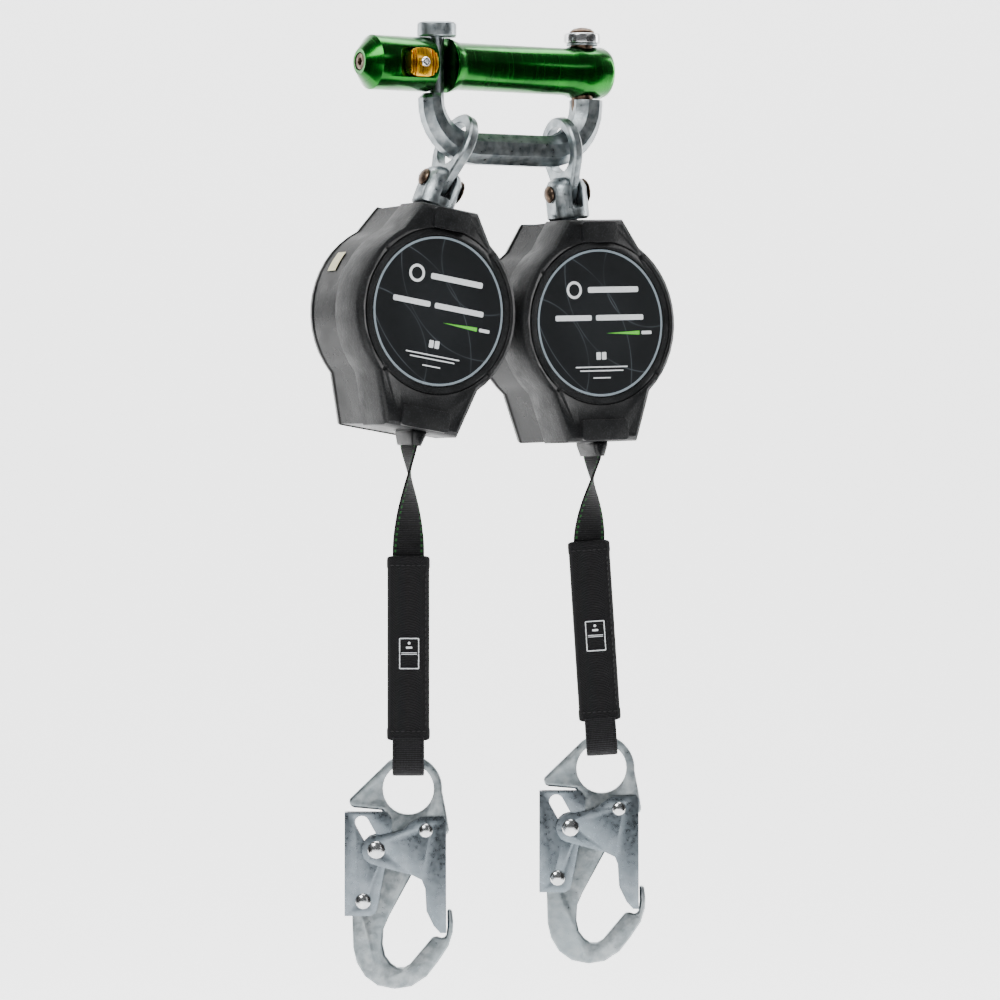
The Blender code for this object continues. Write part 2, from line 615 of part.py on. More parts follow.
def hook_outline():
    """The forged body's outline: eye, ear, frame, bowl and nose, from the eye's centre."""
    eye = arc((0, 0), 19.6, -4, 126, 16)
    ear = [(-33.8, -5.7), (-34.3, -8.1), (-32.4, -10.6), (-14.8, -12.2), (-12.6, -22)]
    frame = [(-12, -38), (-20, -47), (-31, -56), (-32.4, -64), (-32.4, -76)]
    bowl = [(-31.9, -91.7), (-29.9, -100.5), (-25, -108.4), (-17.7, -113.7), (-7.9, -115.7), (1.9, -114.2)]
    nose = [
        (10.7, -108.4), (17.5, -99.6), (23.4, -90.8), (25.8, -82.9),
        (26.1, -77.1), (25.3, -70.7), (23.8, -69),
    ]
    seat = [(22.5, -70.7), (22.7, -79), (22.0, -84.4), (20.4, -86.6), (15.5, -85.2), (13.6, -86.4)]
    inside = [
        (10.7, -89.8), (5.8, -95.6), (0.9, -101.5), (-2.5, -103.3),
        (-6.5, -103.3), (-10, -101), (-13.3, -96.6),
    ]
    back = [(-14.8, -89.8), (-14.3, -81), (-10.9, -73.2), (-5, -62.4), (1.9, -49.7), (6, -40)]
    boss = arc(GATE_PIVOT, 9.8, -90, -20, 5)
    nib = [(22.6, -26.6), (23.6, -24), (22.0, -14)]
    return eye + ear + frame + bowl + nose + seat + inside + back + boss + nib


def make_hook_body(tag, parent):
    """The forging, with its eye and the holes for the gate and lock rivets."""
    up = (0, 0, -HOOK_EYE_DROP)
    body = add_piece(f"hook_body_{tag}", prism(hook_outline(), -BODY_HALF, BODY_HALF), "zinc_plate",
                     parent, up, bevel=1.0)
    cut(body, rod(-9, 9, 14.8, "Y", 32), up)
    for place in (GATE_PIVOT, LOCK_PIVOT):
        cut(body, rod(-9, 9, HOOK_RIVET_HOLE, "Y", 12), (place[0], 0, place[1] - HOOK_EYE_DROP))


def hook_rivet(name, parent, shift, half, head):
    """A rivet across the hook with two domed heads."""
    shank = 2.2
    side = [(half, shank), (half, head), (half + 1.3, head * 0.7), (half + 1.9, 0)]
    profile = [(-y, radius) for y, radius in reversed(side)] + side
    add_piece(name, turned(profile, "Y", 12), "bright_steel", parent, shift)


def make_gate(tag, parent):
    """The gate: two plates folded from one spine, turning on its pivot at the parent's origin."""
    shift = (-GATE_PIVOT[0], 0, -GATE_PIVOT[1])
    inner, outer = GATE_HALF
    edge = [(-5.9, -47.4), (2, -49.4), (7.8, -52.3), (9.8, -57.2), (10.6, -70.4), (14.7, -78.7), (18.6, -83)]
    outline = arc(LINK_PIVOT, 8.6, 75, 255, 8) + edge
    outline += [(21.9, -83), (21.9, -17.5), (20.6, -16.2), (7, -16.5), (2, -19), (-3.9, -24)]
    gate = add_piece(f"gate_{tag}", prism(outline, -outer, outer), "zinc_plate", parent, shift)
    cut(gate, box((-60, 20.3), (-inner, inner), (-100, 0)), shift)
    cut(gate, box((10, 30), (-inner, inner), (-28, -10)), shift)
    for place in (GATE_PIVOT, LINK_PIVOT):
        cut(gate, rod(-9, 9, HOOK_RIVET_HOLE, "Y", 12), (place[0] + shift[0], 0, place[1] + shift[2]))
    link = (LINK_PIVOT[0] + shift[0], 0, LINK_PIVOT[1] + shift[2])
    hook_rivet(f"link_rivet_{tag}", parent, link, outer + GAP, 5.4)


def make_hook_lock(tag, parent):
    """The lock lever: a folded channel whose slots the gate's link rivet runs in."""
    shift = (-LOCK_PIVOT[0], 0, -LOCK_PIVOT[1])
    inner, outer = LOCK_HALF
    outline = [
        (-36.8, -13.4), (-36.8, -73.3), (-22, -73.3), (-19, -71.6), (-17.7, -68),
        (-13.7, -46.5), (-9.6, -25), (-9.6, -17), (-12.6, -13.4),
    ]
    lever = add_piece(f"lock_lever_{tag}", prism(outline, -outer, outer), "zinc_plate", parent, shift)
    cut(lever, box((-35.3, 60), (-inner, inner), (-100, 0)), shift)
    slot_end = (-26.8, -19.6)
    run = math.degrees(math.atan2(slot_end[1] - LINK_PIVOT[1], slot_end[0] - LINK_PIVOT[0]))
    slot = arc(slot_end, 4.2, run - 90, run + 90, 8) + arc(LINK_PIVOT, 4.2, run + 90, run + 270, 8)
    cut(lever, prism(slot, -9, 9), shift)
    cut(lever, rod(-9, 9, HOOK_RIVET_HOLE, "Y", 12))


def make_hook(tag, parent):
    """A double-locking snap hook, its gate and lock each on an axis of their own."""
    make_hook_body(tag, parent)
    gate_place = (GATE_PIVOT[0], 0, GATE_PIVOT[1] - HOOK_EYE_DROP)
    lock_place = (LOCK_PIVOT[0], 0, LOCK_PIVOT[1] - HOOK_EYE_DROP)
    gate_axis = add_empty(f"gate_axis_{tag}", gate_place, parent=parent)
    lock_axis = add_empty(f"lock_axis_{tag}", lock_place, parent=parent)
    hook_rivet(f"gate_rivet_{tag}", parent, gate_place, GATE_HALF[1] + GAP, 4.4)
    hook_rivet(f"lock_rivet_{tag}", parent, lock_place, LOCK_HALF[1] + GAP, 4.9)
    make_gate(tag, gate_axis)
    make_hook_lock(tag, lock_axis)


# ---------------------------------------------------------------- assembly

def make_unit(tag, unit):
    """One retractor with its hanger, lanyard and hook."""
    hang = add_empty(f"eye_axis_{tag}", bar_point(unit["side"]), roll=unit["hanger_roll"])
    make_eye(tag, hang)
    pin = add_empty(f"pin_axis_{tag}", (0, 0, -PIN_DROP), parent=hang)
    make_clevis(tag, pin)
    stem = add_empty(f"stem_axis_{tag}", (0, 0, -TRUNNION_DROP), parent=pin)
    make_swivel_block(tag, stem)
    bpy.context.view_layer.update()
    trunnion = add_empty(f"trunnion_axis_{tag}", stem.matrix_world.translation / MM, roll=unit["case_roll"])
    make_covers(tag, trunnion)
    make_frame(tag, trunnion)
    make_nozzle(tag, trunnion)
    make_power_spring(tag, trunnion)
    drum_axis = add_empty(f"drum_axis_{tag}", (0, 0, -CASE_DROP), parent=trunnion)
    make_drum(tag, drum_axis)
    for which, side in (("a", 1), ("b", -1)):
        place = (PAWL_RADIUS * side, 0, 0)
        pawl_axis = add_empty(f"pawl_axis_{which}_{tag}", place, roll=-90 * side, parent=drum_axis)
        make_pawl(tag, which, pawl_axis)
    base = add_empty(f"lanyard_axis_{tag}", unit["base"], roll=unit["lean"], yaw=HOOK_FACING)
    hook_axis = add_empty(f"hook_axis_{tag}", unit["base"], yaw=HOOK_FACING)
    make_sleeve(tag, base)
    make_hook(tag, hook_axis)
    bpy.context.view_layer.update()
    make_webbing(tag, millimetre_frame(trunnion), millimetre_frame(base))


def millimetre_frame(empty):
    """An empty's placement with its position in millimetres."""
    frame = empty.matrix_world.copy()
    frame.translation = frame.translation / MM
    return frame


def main():
    """Build the whole assembly."""
    clear_scene()
    make_connector()
    for tag, unit in UNITS.items():
        make_unit(tag, unit)
    bpy.context.view_layer.update()


main()
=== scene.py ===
"""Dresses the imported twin-leg retracting lifeline: metalwork, moulded cases, labels, webbing and hooks.

Lengths are in metres, in the row's own frame: +X along the barrel, +Y away from the labels, +Z up.
"""

import json
import logging
import math
from dataclasses import dataclass, field
from enum import Enum
from typing import Any, Iterable, Sequence

import bmesh
import bpy
from mathutils import Matrix, Vector


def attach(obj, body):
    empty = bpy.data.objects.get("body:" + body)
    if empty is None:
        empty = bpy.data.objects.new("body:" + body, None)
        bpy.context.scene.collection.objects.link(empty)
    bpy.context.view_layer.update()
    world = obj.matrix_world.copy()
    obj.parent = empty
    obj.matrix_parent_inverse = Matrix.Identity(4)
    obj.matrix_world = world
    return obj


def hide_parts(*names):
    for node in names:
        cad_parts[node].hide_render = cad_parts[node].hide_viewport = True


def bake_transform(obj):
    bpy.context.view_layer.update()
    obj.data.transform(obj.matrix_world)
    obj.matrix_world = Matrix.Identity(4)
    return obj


logging.basicConfig(level=logging.INFO, format="%(message)s")
LOG = logging.getLogger("lifeline")

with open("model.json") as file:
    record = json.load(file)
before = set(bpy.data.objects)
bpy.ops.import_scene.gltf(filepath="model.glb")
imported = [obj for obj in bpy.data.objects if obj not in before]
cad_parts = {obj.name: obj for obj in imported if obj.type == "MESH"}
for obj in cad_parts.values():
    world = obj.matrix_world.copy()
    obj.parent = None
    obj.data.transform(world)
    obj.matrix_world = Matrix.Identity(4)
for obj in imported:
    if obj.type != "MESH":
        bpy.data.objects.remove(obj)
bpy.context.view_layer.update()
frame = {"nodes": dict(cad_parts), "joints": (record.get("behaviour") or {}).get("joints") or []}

MM = 0.001
VIEW_YAW = math.radians(-31.0)       # the lanyards and the camera face this way about +Z
RIGHT = Vector((math.cos(VIEW_YAW), math.sin(VIEW_YAW), 0.0))
INTO = Vector((-math.sin(VIEW_YAW), math.cos(VIEW_YAW), 0.0))
UP = Vector((0.0, 0.0, 1.0))


class Side(Enum):
    """The two retractors."""

    LEFT = "l"
    RIGHT = "r"


# ------------------------------------------------------------------ materials

def linear(hex_colour: str) -> tuple[float, float, float, float]:
    """Turn an sRGB hex colour into linear RGBA.

    Args:
        hex_colour: Six hex digits after a hash sign.

    Returns:
        Red, green, blue and alpha for a shader socket.
    """
    parts = [int(hex_colour[i:i + 2], 16) / 255 for i in (1, 3, 5)]
    bent = [c / 12.92 if c <= 0.04045 else ((c + 0.055) / 1.055) ** 2.4 for c in parts]
    return (bent[0], bent[1], bent[2], 1.0)


def per_metre(size_mm: float) -> float:
    """The texture scale that gives a feature of that size."""
    return 1.0 / (size_mm * MM)


def add_node(tree: bpy.types.NodeTree, kind: str, sockets: dict[Any, Any] | None = None,
             **settings: Any) -> bpy.types.Node:
    """Add one shader node with its settings, values and links.

    Args:
        tree: The node tree to add to.
        kind: The node's type, such as "ShaderNodeMix".
        sockets: Input name or index to a value, or to the output socket that feeds it.
        settings: Attributes to set on the node.

    Returns:
        The new node.
    """
    made = tree.nodes.new(kind)
    for name, value in settings.items():
        setattr(made, name, value)
    for name, value in (sockets or {}).items():
        if isinstance(value, bpy.types.NodeSocket):
            tree.links.new(value, made.inputs[name])
        else:
            made.inputs[name].default_value = value
    return made


def blend_colours(tree: bpy.types.NodeTree, share: Any, first: Any, second: Any) -> bpy.types.NodeSocket:
    """Mix two colours by a share that may be a number or a socket."""
    sockets = {0: share, 6: first, 7: second}
    return add_node(tree, "ShaderNodeMix", sockets, data_type="RGBA").outputs[2]


def ramp(tree: bpy.types.NodeTree, value: bpy.types.NodeSocket, low: float, high: float,
         to_low: float = 0.0, to_high: float = 1.0) -> bpy.types.NodeSocket:
    """Map a value from one range to another, clamped."""
    sockets = {0: value, 1: low, 2: high, 3: to_low, 4: to_high}
    return add_node(tree, "ShaderNodeMapRange", sockets).outputs[0]


def compute(tree: bpy.types.NodeTree, operation: str, first: Any, second: Any = 0.0,
            third: Any = 0.0) -> bpy.types.NodeSocket:
    """One arithmetic step on numbers or sockets."""
    sockets = {0: first, 1: second, 2: third}
    return add_node(tree, "ShaderNodeMath", sockets, operation=operation).outputs[0]


def noise(tree: bpy.types.NodeTree, where: bpy.types.NodeSocket, size_mm: float, detail: float = 2.0,
          stretch: tuple[float, float, float] = (1.0, 1.0, 1.0)) -> bpy.types.NodeSocket:
    """Noise whose features are about size_mm across, stretched per axis.

    Args:
        tree: The material's node tree.
        where: The point that the noise is read at.
        size_mm: The size of one feature.
        detail: How many finer layers it has.
        stretch: A factor for each axis.

    Returns:
        The noise, from 0 to 1.
    """
    scaled = add_node(tree, "ShaderNodeMapping", {"Vector": where, "Scale": stretch})
    sockets = {"Vector": scaled.outputs[0], "Scale": per_metre(size_mm), "Detail": detail}
    return add_node(tree, "ShaderNodeTexNoise", sockets).outputs[0]


@dataclass(frozen=True)
class Finish:
    """A surface finish; each kind fills in the shader in its own dress method."""

    name: str

    def material(self) -> bpy.types.Material:
        """The finish's material, made the first time it is asked for.

        Returns:
            A node-based material named for the finish.
        """
        made = bpy.data.materials.get(self.name)
        if made:
            return made
        made = bpy.data.materials.new(self.name)
        made.use_nodes = True
        tree = made.node_tree
        shader = tree.nodes["Principled BSDF"]
        where = add_node(tree, "ShaderNodeTexCoord").outputs["Object"]
        self.dress(tree, shader, where)
        made.diffuse_color = shader.inputs["Base Color"].default_value
        return made

    def dress(self, tree: bpy.types.NodeTree, shader: bpy.types.Node, where: bpy.types.NodeSocket) -> None:
        """Fill in the shader."""
        raise NotImplementedError

    @staticmethod
    def bump(tree: bpy.types.NodeTree, shader: bpy.types.Node, height: bpy.types.NodeSocket,
             depth_mm: float, strength: float = 1.0, before: bpy.types.Node | None = None) -> bpy.types.Node:
        """Press a height pattern into the surface.

        Args:
            tree: The material's node tree.
            shader: The shader whose normal it sets.
            height: The pattern, from 0 to 1.
            depth_mm: The depth of the pattern.
            strength: How much of it shows.
            before: A bump node that this one lies on.

        Returns:
            The bump node.
        """
        sockets = {"Height": height, "Distance": depth_mm * MM, "Strength": strength}
        if before:
            sockets["Normal"] = before.outputs[0]
        made = add_node(tree, "ShaderNodeBump", sockets)
        tree.links.new(made.outputs[0], shader.inputs["Normal"])
        return made


@dataclass(frozen=True)
class PlatedSteel(Finish):
    """Zinc-plated steel: a pale, faintly mottled metal, grainy where it was forged or tumbled."""

    light: str = "#999FA1"
    dark: str = "#70777A"
    tint: str = "#879195"
    roughness: float = 0.34
    grain_mm: float = 0.8
    grain_depth_mm: float = 0.07

    def dress(self, tree: bpy.types.NodeTree, shader: bpy.types.Node, where: bpy.types.NodeSocket) -> None:
        """Mottle the plating, vary its gloss and press in the forged grain.

        Args:
            tree: The material's node tree.
            shader: Its principled shader.
            where: The point on the piece, in metres.
        """
        mottle = noise(tree, where, 5.0, 4.0)
        cloud = noise(tree, where, 22.0, 2.0)
        base = blend_colours(tree, ramp(tree, mottle, 0.35, 0.65), linear(self.dark), linear(self.light))
        tinted = blend_colours(tree, ramp(tree, cloud, 0.45, 0.7, 0.0, 0.6), base, linear(self.tint))
        tree.links.new(tinted, shader.inputs["Base Color"])
        shader.inputs["Metallic"].default_value = 1.0
        patches = noise(tree, where, 2.5, 3.0)
        gloss = ramp(tree, patches, 0.3, 0.7, self.roughness - 0.07, self.roughness + 0.1)
        tree.links.new(gloss, shader.inputs["Roughness"])
        pits = self.bump(tree, shader, noise(tree, where, self.grain_mm, 3.0), self.grain_depth_mm)
        self.bump(tree, shader, noise(tree, where, 6.0, 1.0), self.grain_depth_mm * 2.5, before=pits)


@dataclass(frozen=True)
class AnodisedAluminium(Finish):
    """Dyed anodised aluminium: a saturated metal with fine lathe lines and a clear satin skin."""

    colour: str = "#0F6A18"
    deep: str = "#094A10"
    roughness: float = 0.2

    def dress(self, tree: bpy.types.NodeTree, shader: bpy.types.Node, where: bpy.types.NodeSocket) -> None:
        """Dye the metal, and turn fine lines round it.

        Args:
            tree: The material's node tree.
            shader: Its principled shader.
            where: The point on the piece, in metres.
        """
        cloud = noise(tree, where, 12.0, 2.0)
        base = blend_colours(tree, ramp(tree, cloud, 0.3, 0.7), linear(self.deep), linear(self.colour))
        tree.links.new(base, shader.inputs["Base Color"])
        shader.inputs["Metallic"].default_value = 1.0
        shader.inputs["Coat Weight"].default_value = 0.25
        shader.inputs["Coat Roughness"].default_value = 0.12
        lines = noise(tree, where, 0.5, 2.0, (1.0, 0.02, 0.02))
        tree.links.new(ramp(tree, lines, 0.2, 0.8, self.roughness - 0.05, self.roughness + 0.1),
                       shader.inputs["Roughness"])
        self.bump(tree, shader, lines, 0.012)


@dataclass(frozen=True)
class SmoothMetal(Finish):
    """Turned or drawn steel, or oxidised bronze: an even metal with light scratches and worn patches."""

    colour: str = "#B9BABB"
    worn: str = "#D2D2D0"
    roughness: float = 0.24

    def dress(self, tree: bpy.types.NodeTree, shader: bpy.types.Node, where: bpy.types.NodeSocket) -> None:
        """Vary the tone where it has worn, and scratch it lightly.

        Args:
            tree: The material's node tree.
            shader: Its principled shader.
            where: The point on the piece, in metres.
        """
        wear = noise(tree, where, 3.0, 5.0)
        base = blend_colours(tree, ramp(tree, wear, 0.45, 0.75), linear(self.colour), linear(self.worn))
        tree.links.new(base, shader.inputs["Base Color"])
        shader.inputs["Metallic"].default_value = 1.0
        tree.links.new(ramp(tree, wear, 0.3, 0.7, self.roughness + 0.08, self.roughness - 0.05),
                       shader.inputs["Roughness"])
        self.bump(tree, shader, noise(tree, where, 0.6, 2.0, (1.0, 1.0, 0.2)), 0.01)


@dataclass(frozen=True)
class MouldedPolymer(Finish):
    """Black glass-filled nylon: dark, with a pebbled mould texture that breaks its gloss into specks, and a
    painted glint in a lighter colour on the pebbles' tops.
    """

    colour: str = "#0D0E0F"
    pebble_glint: str = "#1E2022"
    roughness: float = 0.46
    pebble_mm: float = 0.9
    pebble_depth_mm: float = 0.16

    def dress(self, tree: bpy.types.NodeTree, shader: bpy.types.Node, where: bpy.types.NodeSocket) -> None:
        """Pebble the surface and paint a lighter highlight on the pebbles' tops.

        Args:
            tree: The material's node tree.
            shader: Its principled shader.
            where: The point on the piece, in metres.
        """
        pebble = noise(tree, where, self.pebble_mm, 2.0)
        scuff = noise(tree, where, 14.0, 5.0)
        # painted glint: the pebbles' tops take the lighter colour, as if catching the light
        glint_on_tops = ramp(tree, pebble, 0.52, 0.72)
        base = blend_colours(tree, glint_on_tops, linear(self.colour), linear(self.pebble_glint))
        tree.links.new(base, shader.inputs["Base Color"])
        tree.links.new(ramp(tree, scuff, 0.35, 0.7, self.roughness - 0.08, self.roughness + 0.12),
                       shader.inputs["Roughness"])
        shader.inputs["Specular IOR Level"].default_value = 0.26
        coarse = self.bump(tree, shader, pebble, self.pebble_depth_mm)
        swell = noise(tree, where, self.pebble_mm * 3.2, 1.0)
        self.bump(tree, shader, swell, self.pebble_depth_mm * 0.8, before=coarse)


@dataclass(frozen=True)
class PrintedFilm(Finish):
    """A printed polyester label: dark grey with faint thin arcs, under a satin laminate."""

    centre: tuple[float, float, float] = (0.0, 0.0, 0.0)
    ground: str = "#24272A"
    edge: str = "#131517"
    arc_colour: str = "#4E5459"

    def dress(self, tree: bpy.types.NodeTree, shader: bpy.types.Node, where: bpy.types.NodeSocket) -> None:
        """Shade the ground outwards and print two families of thin arcs on it.

        Args:
            tree: The material's node tree.
            shader: Its principled shader.
            where: The point on the piece, in metres.
        """
        radius = self.distance(tree, where, self.centre)
        ground = blend_colours(tree, ramp(tree, radius, 0.005, 0.044), linear(self.ground), linear(self.edge))
        lines: bpy.types.NodeSocket | None = None
        for shift, spacing in (((0.034, 0.0, 0.03), 11.0), ((-0.05, 0.0, -0.028), 13.0)):
            point = tuple(c + s for c, s in zip(self.centre, shift))
            reach = self.distance(tree, where, point)
            wave = compute(tree, "PINGPONG", reach, spacing * MM)
            line = ramp(tree, wave, 0.0, 0.00045, 1.0, 0.0)
            lines = line if lines is None else compute(tree, "MAXIMUM", lines, line)
        speck = noise(tree, where, 0.6, 2.0)
        faint = compute(tree, "MULTIPLY", lines, ramp(tree, noise(tree, where, 30.0), 0.35, 0.6, 0.1, 0.75))
        printed = blend_colours(tree, faint, ground, linear(self.arc_colour))
        tree.links.new(printed, shader.inputs["Base Color"])
        tree.links.new(ramp(tree, speck, 0.3, 0.7, 0.3, 0.4), shader.inputs["Roughness"])
        shader.inputs["Specular IOR Level"].default_value = 0.35
        shader.inputs["Coat Weight"].default_value = 0.1
        shader.inputs["Coat Roughness"].default_value = 0.2

    @staticmethod
    def distance(tree: bpy.types.NodeTree, where: bpy.types.NodeSocket,
                 point: Sequence[float]) -> bpy.types.NodeSocket:
        """The distance from a point."""
        away = add_node(tree, "ShaderNodeVectorMath", {0: where, 1: tuple(point)}, operation="DISTANCE")
        return away.outputs["Value"]


@dataclass(frozen=True)
class PrintInk(Finish):
    """Screen-printed ink: an even matt colour with a slight grain, as it lies on film or cloth."""

    colour: str = "#C9CDD0"
    roughness: float = 0.5

    def dress(self, tree: bpy.types.NodeTree, shader: bpy.types.Node, where: bpy.types.NodeSocket) -> None:
        """Colour the ink and grain it.

        Args:
            tree: The material's node tree.
            shader: Its principled shader.
            where: The point on the piece, in metres.
        """
        grain = noise(tree, where, 0.4, 2.0)
        red, green, blue, alpha = linear(self.colour)
        thin = (red * 0.75, green * 0.75, blue * 0.75, alpha)
        base = blend_colours(tree, ramp(tree, grain, 0.3, 0.6), thin, (red, green, blue, alpha))
        tree.links.new(base, shader.inputs["Base Color"])
        shader.inputs["Roughness"].default_value = self.roughness
        self.bump(tree, shader, grain, 0.02)


@dataclass(frozen=True)
class WovenStrap(Finish):
    """Woven polyester webbing: dull black yarn in cross ribs, with a painted highlight on the ribs' crests
    and a dashed tracer along each edge.
    """

    yarn: str = "#060607"
    crest_highlight: str = "#1A1A1C"
    tracer: str = "#1D4A22"
    rib_mm: float = 1.3
    tracer_at_mm: float = 7.6

    def dress(self, tree: bpy.types.NodeTree, shader: bpy.types.Node, where: bpy.types.NodeSocket) -> None:
        """Weave ribs across the strap from its own across and along coordinates, with a painted highlight on
        their crests.

        Args:
            tree: The material's node tree.
            shader: Its principled shader.
            where: The point on the piece, in metres.
        """
        grid = add_node(tree, "ShaderNodeUVMap", uv_map="strap").outputs[0]
        parts = add_node(tree, "ShaderNodeSeparateXYZ", {0: grid})
        across, along = parts.outputs[0], parts.outputs[1]
        rib = compute(tree, "PINGPONG", along, self.rib_mm * MM / 2)
        rib = ramp(tree, rib, 0.0, self.rib_mm * MM / 2)
        end = ramp(tree, compute(tree, "PINGPONG", across, 0.45 * MM), 0.0, 0.45 * MM)
        weave = compute(tree, "ADD", compute(tree, "MULTIPLY", rib, 0.7), compute(tree, "MULTIPLY", end, 0.3))
        fuzz = noise(tree, where, 0.5, 3.0)
        shade = compute(tree, "MULTIPLY", weave, ramp(tree, fuzz, 0.2, 0.8, 0.5, 1.2))
        # painted highlight: the ribs' crests take the lighter colour, as if lit
        base = blend_colours(tree, ramp(tree, shade, 0.3, 0.95), linear(self.yarn), linear(self.crest_highlight))
        off = compute(tree, "ABSOLUTE", compute(tree, "SUBTRACT", compute(tree, "ABSOLUTE", across),
                                                self.tracer_at_mm * MM))
        near = compute(tree, "LESS_THAN", off, 0.55 * MM)
        dash = compute(tree, "LESS_THAN", compute(tree, "PINGPONG", along, 1.6 * MM), 0.8 * MM)
        marked = blend_colours(tree, compute(tree, "MULTIPLY", near, dash), base, linear(self.tracer))
        tree.links.new(marked, shader.inputs["Base Color"])
        shader.inputs["Roughness"].default_value = 0.88
        shader.inputs["Specular IOR Level"].default_value = 0.2
        shader.inputs["Sheen Weight"].default_value = 0.06
        shader.inputs["Sheen Roughness"].default_value = 0.5
        first = self.bump(tree, shader, weave, 0.35)
        self.bump(tree, shader, fuzz, 0.08, before=first)


@dataclass(frozen=True)
class TwillCloth(Finish):
    """Heavy nylon twill: near-black cloth whose zigzag ribs catch a little light."""

    yarn: str = "#040405"
    crest_highlight: str = "#131315"
    rib_mm: float = 1.5
    zigzag_mm: float = 3.0

    def dress(self, tree: bpy.types.NodeTree, shader: bpy.types.Node, where: bpy.types.NodeSocket) -> None:
        """Lay a zigzag twill from the cloth's own across and along coordinates.

        Args:
            tree: The material's node tree.
            shader: Its principled shader.
            where: The point on the piece, in metres.
        """
        grid = add_node(tree, "ShaderNodeUVMap", uv_map="strap").outputs[0]
        parts = add_node(tree, "ShaderNodeSeparateXYZ", {0: grid})
        fold = compute(tree, "PINGPONG", parts.outputs[0], self.zigzag_mm * MM)
        slope = compute(tree, "ADD", parts.outputs[1], fold)
        rib = ramp(tree, compute(tree, "PINGPONG", slope, self.rib_mm * MM / 2), 0.0, self.rib_mm * MM / 2)
        fuzz = noise(tree, where, 0.6, 3.0)
        shade = compute(tree, "MULTIPLY", rib, ramp(tree, fuzz, 0.25, 0.75, 0.6, 1.1))
        # painted highlight: the twill ribs' crests take the lighter colour, as if lit
        base = blend_colours(tree, shade, linear(self.yarn), linear(self.crest_highlight))
        tree.links.new(base, shader.inputs["Base Color"])
        shader.inputs["Roughness"].default_value = 0.82
        shader.inputs["Specular IOR Level"].default_value = 0.2
        shader.inputs["Sheen Weight"].default_value = 0.05
        first = self.bump(tree, shader, rib, 0.22)
        self.bump(tree, shader, fuzz, 0.06, before=first)


FORGED = PlatedSteel("zinc_plated_forging")
PRESSED = PlatedSteel("zinc_plated_pressing", "#7B8389", "#6A7278", "#727D84", 0.3, 0.6, 0.012)
GREEN = AnodisedAluminium("green_anodised_aluminium")
GOLD = AnodisedAluminium("gold_anodised_aluminium", "#E6AE1C", "#B98612", 0.26)
BRONZE = SmoothMetal("oxidised_bronze", "#4A3C32", "#7B6A5A", 0.34)
BRIGHT = SmoothMetal("bright_turned_steel", "#C4C6C8", "#E2E2E0", 0.18)
OILED = SmoothMetal("oiled_spring_steel", "#6C7074", "#8A8D90", 0.3)
PEBBLED = MouldedPolymer("pebbled_nylon")
SATIN = MouldedPolymer("satin_nylon", "#08090A", "#121416", 0.28, 0.6, 0.03)
STRAP = WovenStrap("black_webbing_with_tracer")
LOOP_STRAP = WovenStrap("charcoal_ribbed_webbing", "#0D0D0E", "#303033", "#0D0D0E", 1.15)
CLOTH = TwillCloth("black_twill")
INK = PrintInk("pale_grey_ink", "#E2E5E7")
RIM_INK = PrintInk("blue_grey_ink", "#7F8B93", 0.4)
GREEN_INK = PrintInk("green_ink", "#62C83E", 0.45)
PAPER = PrintInk("cream_paper", "#CFC9A6", 0.6)
THREAD = PrintInk("black_thread", "#141416", 0.8)


# ------------------------------------------------------------------ shapes

def shade_round(mesh: bpy.types.Mesh, angle: float = 38.0) -> None:
    """Shade a mesh smooth, except across edges sharper than an angle in degrees."""
    mesh.shade_smooth()
    mesh.set_sharp_from_angle(angle=math.radians(angle))


def finish_mesh(name: str, bm: bmesh.types.BMesh, finish: Finish) -> bpy.types.Object:
    """Turn a bmesh into a linked object in one finish.

    Args:
        name: The piece's name.
        bm: Its geometry, in metres; it is freed.
        finish: Its finish.

    Returns:
        The new object.
    """
    bmesh.ops.recalc_face_normals(bm, faces=bm.faces)
    mesh = bpy.data.meshes.new(name)
    bm.to_mesh(mesh)
    bm.free()
    mesh.materials.append(finish.material())
    made = bpy.data.objects.new(name, mesh)
    bpy.context.scene.collection.objects.link(made)
    shade_round(mesh)
    return made


def place_piece(piece: bpy.types.Object, body: str, slot: str, *nodes: str) -> bpy.types.Object:
    """Ride a finished piece on its body, hide the CAD nodes that it stands for, and report it.

    Args:
        piece: The piece.
        body: The CAD body that it moves with.
        slot: The record's material slot; not used.
        nodes: The CAD nodes that it stands for.

    Returns:
        The piece.
    """
    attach(piece, body)
    if nodes:
        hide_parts(*nodes)
    LOG.info("%s on %s", piece.name, body)
    return piece


def apply_modifiers(piece: bpy.types.Object) -> None:
    """Bake a piece's modifiers into its mesh.

    Args:
        piece: The piece.
    """
    bpy.context.view_layer.update()
    graph = bpy.context.evaluated_depsgraph_get()
    mesh = bpy.data.meshes.new_from_object(piece.evaluated_get(graph))
    piece.modifiers.clear()
    piece.data = mesh


def bevel(piece: bpy.types.Object, width_mm: float, segments: int = 3, angle: float = 35.0) -> None:
    """Round a piece's edges.

    Args:
        piece: The piece.
        width_mm: The width of the rounding.
        segments: How many facets it has.
        angle: The least angle between faces that is rounded, in degrees.
    """
    edge = piece.modifiers.new("rounded_edges", "BEVEL")
    edge.width = width_mm * MM
    edge.segments = segments
    edge.limit_method = "ANGLE"
    edge.angle_limit = math.radians(angle)
    edge.harden_normals = False


def carve(piece: bpy.types.Object, bm: bmesh.types.BMesh, operation: str = "DIFFERENCE") -> None:
    """Cut one closed shape from a piece, or join it on, and bake the result.

    Args:
        piece: The piece.
        bm: The closed shape, in metres.
        operation: The name of Blender's boolean operation.
    """
    bmesh.ops.recalc_face_normals(bm, faces=bm.faces)
    mesh = bpy.data.meshes.new("carving")
    bm.to_mesh(mesh)
    bm.free()
    tool = bpy.data.objects.new("carving", mesh)
    bpy.context.scene.collection.objects.link(tool)
    step = piece.modifiers.new("carve", "BOOLEAN")
    step.operation = operation
    step.object = tool
    apply_modifiers(piece)
    bpy.data.objects.remove(tool, do_unlink=True)


